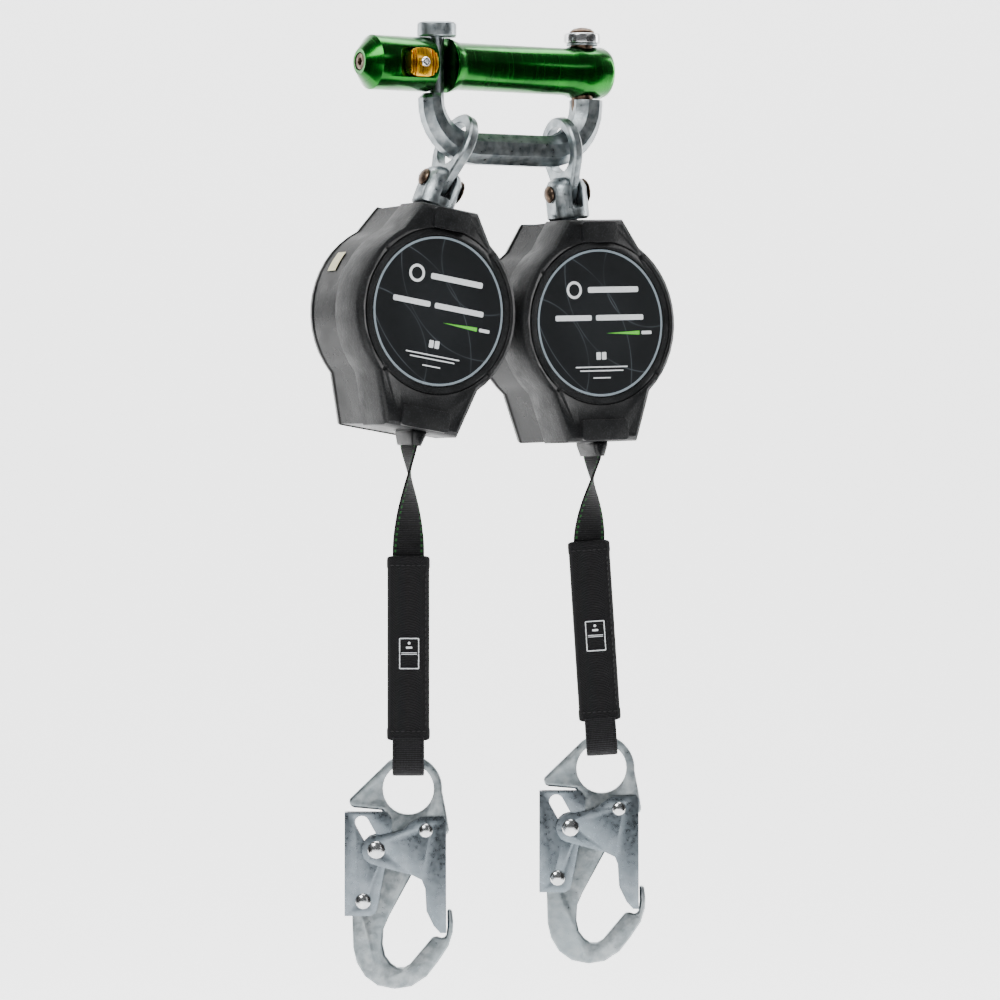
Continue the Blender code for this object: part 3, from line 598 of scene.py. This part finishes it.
def copy_of_node(node: str, name: str, finish: Finish) -> bpy.types.Object:
    """Copy a CAD node's mesh into a clean new piece.

    Args:
        node: The CAD node.
        name: The new piece's name.
        finish: Its finish.

    Returns:
        A piece with welded, simplified faces, ready for its edges to be rounded.
    """
    bm = bmesh.new()
    bm.from_mesh(frame["nodes"][node].data)
    bmesh.ops.remove_doubles(bm, verts=bm.verts, dist=0.002 * MM)
    bmesh.ops.dissolve_limit(bm, angle_limit=math.radians(0.6), verts=bm.verts, edges=bm.edges)
    return finish_mesh(name, bm, finish)


def arc(centre: tuple[float, float], radius: float, start: float, end: float,
        steps: int) -> list[tuple[float, float]]:
    """Points along an arc, both ends included, with its angles in degrees."""
    turns = [math.radians(start + (end - start) * step / steps) for step in range(steps + 1)]
    return [(centre[0] + radius * math.cos(t), centre[1] + radius * math.sin(t)) for t in turns]


def rounded_box(width: float, height: float, radius: float, centre: tuple[float, float] = (0.0, 0.0),
                steps: int = 4) -> list[tuple[float, float]]:
    """The outline of a rectangle with rounded corners.

    Args:
        width: Its width.
        height: Its height.
        radius: The radius of its corners.
        centre: Its centre.
        steps: How many segments a corner has.

    Returns:
        Its points, in order.
    """
    points: list[tuple[float, float]] = []
    for quarter, (right, top) in enumerate(((1, 1), (-1, 1), (-1, -1), (1, -1))):
        corner = (centre[0] + right * (width / 2 - radius), centre[1] + top * (height / 2 - radius))
        points += arc(corner, radius, 90 * quarter, 90 * quarter + 90, steps)
    return points


def slab(outline: Sequence[tuple[float, float]], low: float, high: float, place: Matrix,
         bm: bmesh.types.BMesh | None = None) -> bmesh.types.BMesh:
    """Carry an outline in millimetres along local Y, then place it.

    Args:
        outline: Points (x, z) in millimetres.
        low: The near side, in millimetres.
        high: The far side, in millimetres.
        place: The local frame, in metres.
        bm: A bmesh to add to; a new one if left out.

    Returns:
        The bmesh that holds the slab.
    """
    bm = bm or bmesh.new()
    near = [bm.verts.new(place @ (Vector((x, low, z)) * MM)) for x, z in outline]
    far = [bm.verts.new(place @ (Vector((x, high, z)) * MM)) for x, z in outline]
    bm.faces.new(near)
    bm.faces.new(far[::-1])
    for index in range(len(near)):
        after = (index + 1) % len(near)
        bm.faces.new((near[index], far[index], far[after], near[after]))
    return bm


def annulus(inner: float, outer: float, low: float, high: float, place: Matrix,
            steps: int = 96) -> bmesh.types.BMesh:
    """A flat ring about local Y, from low to high, all in millimetres.

    Args:
        inner: The hole's radius.
        outer: The ring's radius.
        low: Where it starts along Y.
        high: Where it ends along Y.
        place: The local frame, in metres.
        steps: How many sides it has.

    Returns:
        The ring's geometry, in metres.
    """
    bm = bmesh.new()
    rows = []
    for radius, y in ((inner, low), (outer, low), (outer, high), (inner, high)):
        turns = [math.tau * step / steps for step in range(steps)]
        rows.append([bm.verts.new(place @ (Vector((radius * math.cos(t), y, radius * math.sin(t))) * MM))
                     for t in turns])
    for row, following in zip(rows, rows[1:] + rows[:1]):
        for index in range(steps):
            after = (index + 1) % steps
            bm.faces.new((row[index], row[after], following[after], following[index]))
    return bm


def skin(rings: Sequence[Sequence[Vector]], across: Sequence[float], along: Sequence[float],
         capped: bool = True) -> bmesh.types.BMesh:
    """A closed skin through rings, with its across and along lengths kept as a map.

    Args:
        rings: Sections with the same number of points, in metres.
        across: Each ring point's distance across the strap, from its middle.
        along: Each ring's distance along it.
        capped: Whether the ends are closed.

    Returns:
        A bmesh with a "strap" UV layer in metres.
    """
    bm = bmesh.new()
    layer = bm.loops.layers.uv.new("strap")
    rows = [[bm.verts.new(point) for point in ring] for ring in rings]
    count = len(across)
    for number, (lower, upper) in enumerate(zip(rows, rows[1:])):
        for index in range(count):
            after = (index + 1) % count
            face = bm.faces.new((lower[index], lower[after], upper[after], upper[index]))
            corners = ((index, number), (after, number), (after, number + 1), (index, number + 1))
            for loop, (point, row) in zip(face.loops, corners):
                loop[layer].uv = (across[point], along[row])
    if capped:
        bm.faces.new(rows[0][::-1])
        bm.faces.new(rows[-1])
    return bm


def joint(name: str) -> dict[str, Any]:
    """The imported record's joint of that name."""
    return next(item for item in frame["joints"] if item["name"] == name)


def stitches(name: str, places: Iterable[tuple[Vector, Vector, Vector]], length_mm: float = 2.1,
             width_mm: float = 0.55) -> bpy.types.Object:
    """Raised stitches, each a small rounded capsule.

    Args:
        name: The piece's name.
        places: For each stitch its centre, its direction and the cloth's outward normal.
        length_mm: The length of one stitch.
        width_mm: The thread's width.

    Returns:
        One piece that holds them all.
    """
    bm = bmesh.new()
    for centre, way, normal in places:
        way = way.normalized()
        side = way.cross(normal).normalized()
        half = length_mm * MM / 2
        rows = []
        for share, size in ((-1.0, 0.35), (-0.6, 0.9), (0.0, 1.0), (0.6, 0.9), (1.0, 0.35)):
            middle = centre + way * (half * share)
            radius = width_mm * MM / 2 * size
            turns = [math.tau * corner / 6 for corner in range(6)]
            rows.append([bm.verts.new(middle + side * radius * math.cos(t) + normal * radius * math.sin(t))
                         for t in turns])
        bm.faces.new(rows[0])
        bm.faces.new(rows[-1])
        for row, following in zip(rows, rows[1:]):
            for index in range(6):
                after = (index + 1) % 6
                bm.faces.new((row[index], row[after], following[after], following[index]))
    return finish_mesh(name, bm, THREAD)


# ------------------------------------------------------------------ sub-assemblies

Outline = list[tuple[float, float]]

CASE_RADIUS_MM = 53.5
WEB_PLANE_Y_MM = -17.0               # the webbing's plane in the case
WEB_START_MM = -34.0                 # where the webbing comes into view inside the case, below its centre
GUIDE_MOUTH_MM = -79.5               # where it leaves the guide
LEAN_DEG = {Side.LEFT: 0.0, Side.RIGHT: -3.7}       # each lanyard's lean in its own plane
STICKER_TURN_DEG = (148.0, 14.0)     # the sticker's start and sweep round the rear cover
STICKER_Y_MM = (7.0, 16.0)
LABEL_BARS = [                       # across, up, width and height, in millimetres
    (9.5, 19.5, 35.0, 3.4), (-18.5, 3.0, 25.0, 3.2), (13.5, 3.0, 33.0, 3.2), (32.0, -6.2, 7.0, 2.0),
    (0.0, -26.0, 36.0, 0.7), (0.0, -28.2, 30.0, 0.7), (0.0, -32.4, 12.0, 0.7),
]

@dataclass
class CarriedPiece:
    """A CAD node whose shape is right: it keeps its shape and gets rounded edges and a real finish."""

    node: str
    body: str
    slot: str
    finish: Finish
    edge_mm: float = 0.4
    segments: int = 2

    def build(self) -> bpy.types.Object:
        """Make the rounded piece and ride it on its body.

        Returns:
            The finished piece.
        """
        piece = copy_of_node(self.node, f"{self.node}_finished", self.finish)
        bevel(piece, self.edge_mm, self.segments)
        apply_modifiers(piece)
        shade_round(piece.data)
        return place_piece(piece, self.body, self.slot, self.node)


@dataclass
class Connector:
    """The barrel connector: bail, barrel, slide lock and pivot."""

    forged_edge_mm: float = 0.9
    turned_edge_mm: float = 0.4

    def build(self) -> None:
        """Carry the connector's pieces over in their finishes."""
        pieces = [
            CarriedPiece("bail", "bail", "zinc_plate", FORGED, self.forged_edge_mm, 3),
            CarriedPiece("barrel", "barrel", "green_anodised", GREEN, self.turned_edge_mm, 3),
            CarriedPiece("nose_screw", "barrel", "bronze_rivet", BRONZE, 0.25),
            CarriedPiece("slide_button", "button", "gold_anodised", GOLD, 0.3),
            CarriedPiece("button_screw", "button", "bright_steel", BRIGHT, 0.2),
            CarriedPiece("pivot_rivet", "bail", "bronze_rivet", BRONZE, 0.5, 3),
            CarriedPiece("pivot_collar", "bail", "bright_steel", BRIGHT, 0.4, 3),
            CarriedPiece("pivot_washer", "bail", "zinc_plate", FORGED, 0.25),
        ]
        for piece in pieces:
            piece.build()


@dataclass
class Hanger:
    """One unit's ring, clevis and pin."""

    side: Side

    def build(self) -> None:
        """Carry the hanger's pieces over in their finishes."""
        tag = self.side.value
        pieces = [
            CarriedPiece(f"eye_{tag}", f"eye_{tag}", "zinc_plate", FORGED, 0.5, 3),
            CarriedPiece(f"clevis_{tag}", f"clevis_{tag}", "zinc_plate", FORGED, 0.6),
            CarriedPiece(f"clevis_rivet_{tag}", f"clevis_{tag}", "bronze_rivet", BRONZE, 0.5, 3),
        ]
        for piece in pieces:
            piece.build()


@dataclass
class Case:
    """One unit's moulded case with its label, sticker and webbing guide."""

    side: Side
    front_y_mm: float = -30.5
    groove_mm: tuple[float, float, float] = (47.6, 48.7, 0.9)
    label_radius_mm: float = 43.7
    ink_y_mm: float = -30.4
    place: Matrix = field(init=False)
    centre: Vector = field(init=False)

    def __post_init__(self) -> None:
        """Take the case's centre and lean from the drum's axis and the trunnion."""
        self.centre = Vector(joint(f"drum_spin_{self.side.value}")["pos_m"])
        trunnion = Vector(joint(f"case_rock_{self.side.value}")["pos_m"])
        rise = trunnion - self.centre
        self.place = Matrix.Translation(self.centre) @ Matrix.Rotation(math.atan2(rise.x, rise.z), 4, "Y")

    @property
    def body(self) -> str:
        """The CAD body that the case rides on."""
        return f"case_{self.side.value}"

    def build(self) -> None:
        """Build the covers, the label and the small pieces on them."""
        tag = self.side.value
        self.front_cover()
        CarriedPiece(f"rear_cover_{tag}", self.body, "black_polymer", SATIN, 0.7, 3).build()
        CarriedPiece(f"webbing_nozzle_{tag}", self.body, "black_polymer", SATIN, 0.5, 2).build()
        self.label()
        self.sticker()

    def front_cover(self) -> None:
        """The pebbled front cover, with a groove round the label and four small notches in it."""
        tag = self.side.value
        piece = copy_of_node(f"front_cover_{tag}", f"front_cover_{tag}_moulded", PEBBLED)
        bevel(piece, 0.7, 3)
        apply_modifiers(piece)
        inner, outer, depth = self.groove_mm
        carve(piece, annulus(inner, outer, self.front_y_mm - 1, self.front_y_mm + depth, self.place))
        for quarter in range(4):
            turn = Matrix.Rotation(math.radians(38 + 90 * quarter), 4, "Y")
            notch = rounded_box(2.6, 3.6, 0.6, (0.0, outer))
            carve(piece, slab(notch, self.front_y_mm - 1, self.front_y_mm + depth, self.place @ turn))
        piece.data.materials.clear()
        piece.data.materials.append(PEBBLED.material())
        shade_round(piece.data, 42.0)
        place_piece(piece, self.body, "black_polymer", f"front_cover_{tag}")

    def label(self) -> None:
        """The printed label: arcs on a grey ground, a rim, and plain bars where lettering would be."""
        tag = self.side.value
        film = PrintedFilm(f"printed_label_film_{tag}", tuple(self.centre))
        disc = finish_mesh(f"label_{tag}_film", slab(arc((0, 0), self.label_radius_mm, 0, 357.5, 143),
                                                     self.ink_y_mm, self.ink_y_mm + 0.8, self.place), film)
        bevel(disc, 0.25, 2)
        place_piece(disc, self.body, "label_film", f"label_disc_{tag}")
        rim = annulus(self.label_radius_mm - 1.7, self.label_radius_mm - 0.4, self.ink_y_mm - 0.08,
                      self.ink_y_mm + 0.05, self.place)
        place_piece(finish_mesh(f"label_{tag}_rim", rim, RIM_INK), self.body, "label_film")
        self.print_marks(f"label_{tag}_marks", INK, self.bar_outlines())
        self.print_marks(f"label_{tag}_accent", GREEN_INK, [[(4, -6.2), (27, -5.0), (27, -7.4)]])

    @staticmethod
    def bar_outlines() -> list[Outline]:
        """Plain bars of several lengths, a badge, and a small manual icon.

        Returns:
            Outlines in the label's own millimetres.
        """
        outlines = [rounded_box(w, h, min(h, w) * 0.3, (x, z)) for x, z, w, h in LABEL_BARS]
        outlines.append(arc((-17.5, 19.5), 5.2, 0, 359.5, 48) + arc((-17.5, 19.5), 3.6, 359.5, 0, 48))
        outlines += [rounded_box(3.0, 4.4, 0.5, (-1.9, -19.5)), rounded_box(3.0, 4.4, 0.5, (1.9, -19.5))]
        return outlines

    def print_marks(self, name: str, ink: PrintInk, outlines: Sequence[Outline]) -> None:
        """Print outlines on the label as thin raised ink.

        Args:
            name: The piece's name.
            ink: The ink.
            outlines: Closed outlines in the label's own millimetres.
        """
        bm = bmesh.new()
        for outline in outlines:
            slab(outline, self.ink_y_mm - 0.08, self.ink_y_mm + 0.05, self.place, bm)
        place_piece(finish_mesh(name, bm, ink), self.body, "label_film")

    def sticker(self) -> None:
        """A small cream inspection sticker bent round the rear cover's upper left side."""
        bm = bmesh.new()
        radius = CASE_RADIUS_MM - 0.35
        start, sweep = STICKER_TURN_DEG
        rows = []
        for step in range(9):
            turn = math.radians(start + sweep * step / 8)
            for reach in (radius, radius + 0.25):
                ring = [Vector((reach * math.cos(turn), y, reach * math.sin(turn))) for y in STICKER_Y_MM]
                rows.append([bm.verts.new(self.place @ (point * MM)) for point in ring])
        for step in range(8):
            low_in, low_out, high_in, high_out = rows[2 * step:2 * step + 4]
            for a, b in ((low_in, high_in), (low_out, high_out)):
                bm.faces.new((a[0], a[1], b[1], b[0]))
            for end in (0, 1):
                bm.faces.new((low_in[end], low_out[end], high_out[end], high_in[end]))
        for first, second in ((rows[0], rows[1]), (rows[-2], rows[-1])):
            bm.faces.new((first[0], first[1], second[1], second[0]))
        place_piece(finish_mesh(f"inspection_sticker_{self.side.value}", bm, PAPER), self.body, "label_film")


@dataclass
class Lanyard:
    """One unit's webbing, label sleeve and hook loop."""

    side: Side
    lean_deg: float = 0.0
    web_mm: tuple[float, float] = (18.3, 1.7)
    sleeve_mm: tuple[float, float, float] = (25.0, 7.4, 106.0)
    sleeve_base_mm: float = 12.6
    base: Vector = field(init=False)
    place: Matrix = field(init=False)

    def __post_init__(self) -> None:
        """Stand the lanyard's own frame on the axis that the hook swings on."""
        self.base = Vector(joint(f"hook_swing_{self.side.value}")["pos_m"])
        self.place = (Matrix.Translation(self.base) @ Matrix.Rotation(VIEW_YAW, 4, "Z")
                      @ Matrix.Rotation(math.radians(self.lean_deg), 4, "Y"))

    @property
    def body(self) -> str:
        """The CAD body that the lanyard rides on."""
        return f"lanyard_{self.side.value}"

    def build(self, case: Case) -> None:
        """Build the strap from the case to the sleeve, the sleeve and the loop.

        Args:
            case: The case above it.
        """
        self.strap(case)
        self.sleeve()
        self.loop()

    def ribbon(self, centre: Vector, width_way: Vector, thick_way: Vector, width_mm: float,
               cup_mm: float = 0.0) -> list[Vector]:
        """One section of the webbing, with full edges and an optional cupped face.

        Args:
            centre: The section's centre.
            width_way: The direction of its width.
            thick_way: The direction of its thickness.
            width_mm: Its width.
            cup_mm: How far its middle bows out.

        Returns:
            The section's points, in metres.
        """
        half, thick = width_mm / 2, self.web_mm[1] / 2
        ring = []
        for across, out in self.section():
            bend = cup_mm * (1 - across * across)
            ring.append(centre + width_way * (across * half * MM) + thick_way * ((out * thick + bend) * MM))
        return ring

    @staticmethod
    def section() -> list[tuple[float, float]]:
        """A flat rounded section as (across, out) shares of the half width and half thickness.

        Returns:
            The section's points, in order round it.
        """
        front = [(share / 4, 1.0) for share in range(-4, 5)]
        front[0], front[-1] = (-0.96, 0.8), (0.96, 0.8)
        back = [(-across, -out) for across, out in front]
        return front + [(1.0, 0.0)] + back + [(-1.0, 0.0)]

    def strap(self, case: Case) -> None:
        """The webbing between the guide and the sleeve, turning to face forwards as it comes down.

        Args:
            case: The case that it comes out of.
        """
        tag = self.side.value
        start = case.place @ (Vector((0, WEB_PLANE_Y_MM, WEB_START_MM)) * MM)
        mouth = case.place @ (Vector((0, WEB_PLANE_Y_MM, GUIDE_MOUTH_MM)) * MM)
        top = self.place @ (Vector((0, 0, self.sleeve_base_mm + self.sleeve_mm[2] - 3.0)) * MM)
        turn = case.place.to_3x3()
        rings = [self.ribbon(point, turn @ Vector((0, 1, 0)), turn @ Vector((1, 0, 0)), self.web_mm[0])
                 for point in (start, start.lerp(mouth, 0.5), mouth)]
        along = [0.0, (mouth - start).length / 2, (mouth - start).length]
        steps = 36
        for step in range(1, steps + 1):
            share = step / steps
            centre = mouth.lerp(top, share)
            angle = math.pi / 2 + (VIEW_YAW - math.pi / 2) * min(1.0, share / 0.92)
            width = Vector((math.cos(angle), math.sin(angle), 0.0))
            thick = Vector((math.sin(angle), -math.cos(angle), 0.0))
            rings.append(self.ribbon(centre, width, thick, self.web_mm[0], 0.9 * math.sin(math.pi * share)))
            along.append(along[2] + (top - mouth).length * share)
        across = [share * self.web_mm[0] / 2 * MM for share, _ in self.section()]
        piece = finish_mesh(f"webbing_{tag}_woven", skin(rings, across, along), STRAP)
        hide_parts(f"webbing_{tag}")
        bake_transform(piece)
        LOG.info("%s between %s and %s", piece.name, case.body, self.body)

    def sleeve_section(self, width: float, depth: float, sag: float) -> list[Vector]:
        """A flattened tube's section in local millimetres.

        Args:
            width: Its width.
            depth: Its depth.
            sag: How far its faces ripple, as a share of the depth.

        Returns:
            The section's points, in order round it.
        """
        ring = []
        for step in range(48):
            turn = math.tau * step / 48
            across, out = math.cos(turn), math.sin(turn)
            x = width / 2 * math.copysign(abs(across) ** 0.55, across)
            y = depth / 2 * math.copysign(abs(out) ** 0.62, out)
            ring.append(Vector((x, y * (1 + sag * math.cos(x * 0.42)), 0)))
        return ring

    def sleeve(self) -> None:
        """The twill label sleeve, slightly crowned and creased, with hemmed ends."""
        tag = self.side.value
        width, depth, length = self.sleeve_mm
        rings, along = [], []
        stations = [(-0.4, 0.80), (0.0, 0.93), (0.8, 0.99), (2.0, 1.0), (6.0, 1.0), (7.0, 0.975)]
        stations += [(7.0 + (length - 14.0) * step / 40, 0.975) for step in range(1, 40)]
        stations += [(length - 7.0, 0.975), (length - 6.0, 1.0), (length - 2.0, 1.0), (length - 0.8, 0.99),
                     (length, 0.93), (length + 0.4, 0.80)]
        phase = 0.0 if self.side is Side.LEFT else 1.7
        for rise, share in stations:
            crease = 0.02 * math.sin(rise * 0.11 + phase) + 0.012 * math.sin(rise * 0.31 + 2 * phase)
            section = self.sleeve_section(width * share, depth * (share + crease), crease)
            lean = 0.35 * math.sin(math.pi * rise / length)
            lift = self.sleeve_base_mm + rise
            rings.append([self.place @ (Vector((p.x, p.y + lean, lift)) * MM) for p in section])
            along.append(rise * MM)
        turns = [math.tau * step / 48 for step in range(48)]
        across = [width / 2 * MM * (1 - 2 * abs(t / math.pi - 1)) for t in turns]
        piece = finish_mesh(f"label_sleeve_{tag}_twill", skin(rings, across, along), CLOTH)
        place_piece(piece, self.body, "sleeve_fabric", f"label_sleeve_{tag}")
        self.sleeve_stitches()
        self.sleeve_icon()

    def sleeve_stitches(self) -> None:
        """Rows of stitches round both hems and down one long edge, front and back."""
        _, depth, length = self.sleeve_mm
        spots = []
        turn = self.place.to_3x3()
        for face in (-1, 1):
            normal = turn @ Vector((0, face, 0))
            skin_y = face * (depth / 2 + 0.02)
            for rise in (5.0, length - 5.0):
                for count in range(7):
                    x = -9.3 + 3.1 * count
                    spot = self.place @ (Vector((x, skin_y, self.sleeve_base_mm + rise)) * MM)
                    spots.append((spot, turn @ Vector((1, 0, 0)), normal))
            for count in range(28):
                rise = 9.5 + 3.2 * count
                lift = self.sleeve_base_mm + rise
                spot = self.place @ (Vector((10.1, face * (depth / 2 - 0.15), lift)) * MM)
                spots.append((spot, turn @ Vector((0, 0, 1)), normal))
        piece = stitches(f"sleeve_{self.side.value}_stitches", spots)
        place_piece(piece, self.body, "sleeve_fabric")

    def sleeve_icon(self) -> None:
        """A printed generic open book on its side, for the manual kept in the sleeve."""
        middle = self.place @ Matrix.Translation(Vector((0.5, 0, self.sleeve_base_mm + 50.0)) * MM)
        near = -self.sleeve_mm[1] / 2 - 0.05
        bm = bmesh.new()
        page_width, page_height, line = 11.0, 8.6, 0.55
        for page in (-1, 1):
            mid = page * (page_height / 2 + 0.1)
            for x in (-page_width / 2, page_width / 2):
                slab(rounded_box(line, page_height, 0.2, (x, mid)), near, near + 0.6, middle, bm)
            edge = rounded_box(page_width, line, 0.2, (0, mid + page * page_height / 2))
            slab(edge, near, near + 0.6, middle, bm)
            slab(rounded_box(page_width - 2.0, 0.35, 0.1, (0, page * 0.45)), near, near + 0.6, middle, bm)
        slab(arc((0, 6.0), 0.8, 0, 330, 11), near, near + 0.6, middle, bm)
        slab(rounded_box(3.6, 1.2, 0.4, (0, 3.4)), near, near + 0.6, middle, bm)
        place_piece(finish_mesh(f"sleeve_{self.side.value}_icon", bm, INK), self.body, "sleeve_fabric")

    def loop(self) -> None:
        """The webbing loop through the hook's eye, its legs closing into the sleeve."""
        tag = self.side.value
        middle = 7.55
        bottom = arc((0, 0), middle, 15, -195, 28)
        top = self.sleeve_base_mm + 1.2
        legs = [(3.05 + (bottom[0][0] - 3.05) * share, top + (bottom[0][1] - top) * share)
                for share in (0.0, 0.25, 0.5, 0.75)]
        path = legs + bottom + [(-y, z) for y, z in reversed(legs)]
        turn = self.place.to_3x3()
        rings, along, reach = [], [], 0.0
        for index, (y, z) in enumerate(path):
            before, after = path[max(index - 1, 0)], path[min(index + 1, len(path) - 1)]
            way = Vector((0, after[0] - before[0], after[1] - before[1])).normalized()
            normal = Vector((0, -way.z, way.y))
            centre = self.place @ (Vector((0, y, z)) * MM)
            if index:
                reach += math.dist((y, z), path[index - 1]) * MM
            rings.append(self.ribbon(centre, turn @ Vector((1, 0, 0)), turn @ normal, self.web_mm[0]))
            along.append(reach)
        across = [share * self.web_mm[0] / 2 * MM for share, _ in self.section()]
        piece = finish_mesh(f"hook_loop_{tag}_woven", skin(rings, across, along), LOOP_STRAP)
        place_piece(piece, self.body, "black_webbing", f"hook_loop_{tag}")


@dataclass
class SnapHook:
    """One double-locking snap hook: forging, gate, lock lever and rivets."""

    side: Side

    def build(self) -> None:
        """Carry the hook's pieces over in their finishes."""
        tag = self.side.value
        pieces = [
            CarriedPiece(f"hook_body_{tag}", f"hook_{tag}", "zinc_plate", FORGED, 1.2, 3),
            CarriedPiece(f"gate_{tag}", f"gate_{tag}", "zinc_plate", PRESSED, 0.6, 3),
            CarriedPiece(f"lock_lever_{tag}", f"lock_{tag}", "zinc_plate", PRESSED, 0.6, 3),
            CarriedPiece(f"gate_rivet_{tag}", f"hook_{tag}", "bright_steel", BRIGHT, 0.4, 3),
            CarriedPiece(f"lock_rivet_{tag}", f"hook_{tag}", "bright_steel", BRIGHT, 0.4, 3),
            CarriedPiece(f"link_rivet_{tag}", f"gate_{tag}", "bright_steel", BRIGHT, 0.4, 3),
        ]
        for piece in pieces:
            piece.build()


@dataclass
class Mechanism:
    """The pieces inside the cases and the barrel, which stay as the CAD drew them."""

    def build(self) -> None:
        """Give every inner node a real finish."""
        finishes = {
            "frame": OILED, "ratchet_ring": OILED, "power_spring": OILED, "swivel_block": OILED,
            "drum": OILED, "axle": BRIGHT, "pawl_a": BRIGHT, "pawl_b": BRIGHT, "webbing_coil": STRAP,
        }
        for tag in ("l", "r"):
            for name, finish in finishes.items():
                self.dress(f"{name}_{tag}", finish)
        self.dress("lock_plunger", OILED)
        self.spring()

    @staticmethod
    def spring() -> None:
        """The lock's spring between the barrel and the plunger, copied from its CAD node."""
        piece = copy_of_node("plunger_spring", "plunger_spring_wound", OILED)
        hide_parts("plunger_spring")
        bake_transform(piece)
        LOG.info("%s between barrel and button", piece.name)

    @staticmethod
    def dress(node: str, finish: Finish) -> None:
        """Swap one node's CAD material for a real finish.

        Args:
            node: The CAD node's name.
            finish: The finish it gets.
        """
        mesh = frame["nodes"][node].data
        mesh.materials.clear()
        mesh.materials.append(finish.material())


@dataclass
class Stage:
    """A pale floor and backdrop, soft lights, black flags, and a level camera facing the labels."""

    floor_z: float = -0.70
    distance: float = 3.0
    frame_width: float = 0.59
    sensor_mm: float = 36.0
    centre_across: float = -0.0059
    centre_up: float = -0.2543

    def build(self) -> None:
        """Set the floor, lights, world and camera."""
        self.floor()
        self.flags()
        self.lights()
        self.world()
        self.camera()

    def floor(self) -> None:
        """A floor that curves up into a backdrop well behind the part."""
        bm = bmesh.new()
        profile = [(-4.0, 0.0), (1.6, 0.0)]
        profile += [(1.6 + 1.2 * math.sin(t * math.pi / 24), 1.2 - 1.2 * math.cos(t * math.pi / 24))
                    for t in range(1, 13)]
        profile.append((2.8, 5.0))
        rows = []
        for away, rise in profile:
            ends = [RIGHT * across + INTO * away for across in (-7.0, 7.0)]
            rows.append([bm.verts.new((p.x, p.y, self.floor_z + rise)) for p in ends])
        for low, high in zip(rows, rows[1:]):
            bm.faces.new((low[0], low[1], high[1], high[0]))
        mesh = bpy.data.meshes.new("studio_floor")
        bm.to_mesh(mesh)
        bm.free()
        mesh.shade_smooth()
        made = bpy.data.materials.new("studio_paper")
        made.use_nodes = True
        shader = made.node_tree.nodes["Principled BSDF"]
        shader.inputs["Base Color"].default_value = linear("#ffffff")
        shader.inputs["Emission Color"].default_value = linear("#ffffff")
        shader.inputs["Emission Strength"].default_value = 1.5
        shader.inputs["Roughness"].default_value = 0.9
        mesh.materials.append(made)
        floor = bpy.data.objects.new("studio_floor", mesh)
        bpy.context.scene.collection.objects.link(floor)

    def flags(self) -> None:
        """Two black flags beside the camera's view, which draw dark edges down metal and polymer."""
        black = bpy.data.materials.new("black_flag")
        black.use_nodes = True
        shader = black.node_tree.nodes["Principled BSDF"]
        shader.inputs["Base Color"].default_value = linear("#050505")
        shader.inputs["Roughness"].default_value = 1.0
        for side in (-1, 1):
            bm = bmesh.new()
            corners = [(-0.95, -0.75), (-0.1, -0.75), (-0.1, 0.25), (-0.95, 0.25)]
            spots = [RIGHT * (0.62 * side) + INTO * away + UP * up for away, up in corners]
            bm.faces.new([bm.verts.new(spot) for spot in spots])
            mesh = bpy.data.meshes.new(f"flag_{side}")
            bm.to_mesh(mesh)
            bm.free()
            mesh.materials.append(black)
            flag = bpy.data.objects.new(f"flag_{side}", mesh)
            bpy.context.scene.collection.objects.link(flag)

    def area(self, name: str, across: float, away: float, up: float, size: tuple[float, float],
             power: float, aim_up: float = -0.25) -> None:
        """One rectangular light placed in the camera's terms and aimed at the part.

        Args:
            name: The light's name.
            across: Metres to the camera's right.
            away: Metres away from the camera.
            up: Metres up.
            size: Its width and height, in metres.
            power: Its power, in watts.
            aim_up: The height that it is aimed at.
        """
        data = bpy.data.lights.new(name, "AREA")
        data.shape = "RECTANGLE"
        data.size, data.size_y = size
        data.energy = power
        lamp = bpy.data.objects.new(name, data)
        lamp.location = RIGHT * across + INTO * away + UP * up
        aim = Vector((0, 0, aim_up)) - lamp.location
        lamp.rotation_euler = aim.to_track_quat("-Z", "Y").to_euler()
        bpy.context.scene.collection.objects.link(lamp)

    def lights(self) -> None:
        """A large key from the upper left, a fill, two edge strips and a wash on the backdrop."""
        self.area("key", -1.1, -1.6, 1.3, (1.0, 1.0), 46.0)
        self.area("fill", 1.6, -1.6, 0.2, (1.0, 1.6), 16.0)
        self.area("left_strip", -1.3, 0.5, 0.1, (0.3, 1.8), 9.0)
        self.area("right_strip", 1.3, 0.5, 0.1, (0.3, 1.8), 20.0)
        self.area("top", 0.0, -0.2, 1.8, (1.2, 0.8), 22.0)
        self.area("backdrop_wash", 0.0, 1.0, 2.6, (3.0, 1.0), 110.0, 0.0)

    @staticmethod
    def world() -> None:
        """A soft grey surround, bright enough for plated steel to reflect."""
        world = bpy.data.worlds.new("studio_surround")
        world.use_nodes = True
        background = world.node_tree.nodes["Background"]
        background.inputs["Color"].default_value = linear("#e9ebee")
        background.inputs["Strength"].default_value = 0.2
        bpy.context.scene.world = world

    def camera(self) -> None:
        """The camera, level, turned to the side that the lanyards face."""
        data = bpy.data.cameras.new("studio_camera")
        data.sensor_width = self.sensor_mm
        data.lens = self.sensor_mm * self.distance / self.frame_width
        data.clip_end = 50.0
        target = RIGHT * self.centre_across + UP * self.centre_up
        lens = bpy.data.objects.new("studio_camera", data)
        lens.location = target - INTO * self.distance
        lens.rotation_euler = INTO.to_track_quat("-Z", "Y").to_euler()
        bpy.context.scene.collection.objects.link(lens)
        bpy.context.scene.camera = lens


# ------------------------------------------------------------------ the whole object


def main() -> None:
    """Build every sub-assembly, then the stage."""
    Connector().build()
    for side, lean in LEAN_DEG.items():
        case = Case(side)
        Hanger(side).build()
        case.build()
        Lanyard(side, lean).build(case)
        SnapHook(side).build()
    Mechanism().build()
    Stage().build()


if __name__ == "__main__":
    main()
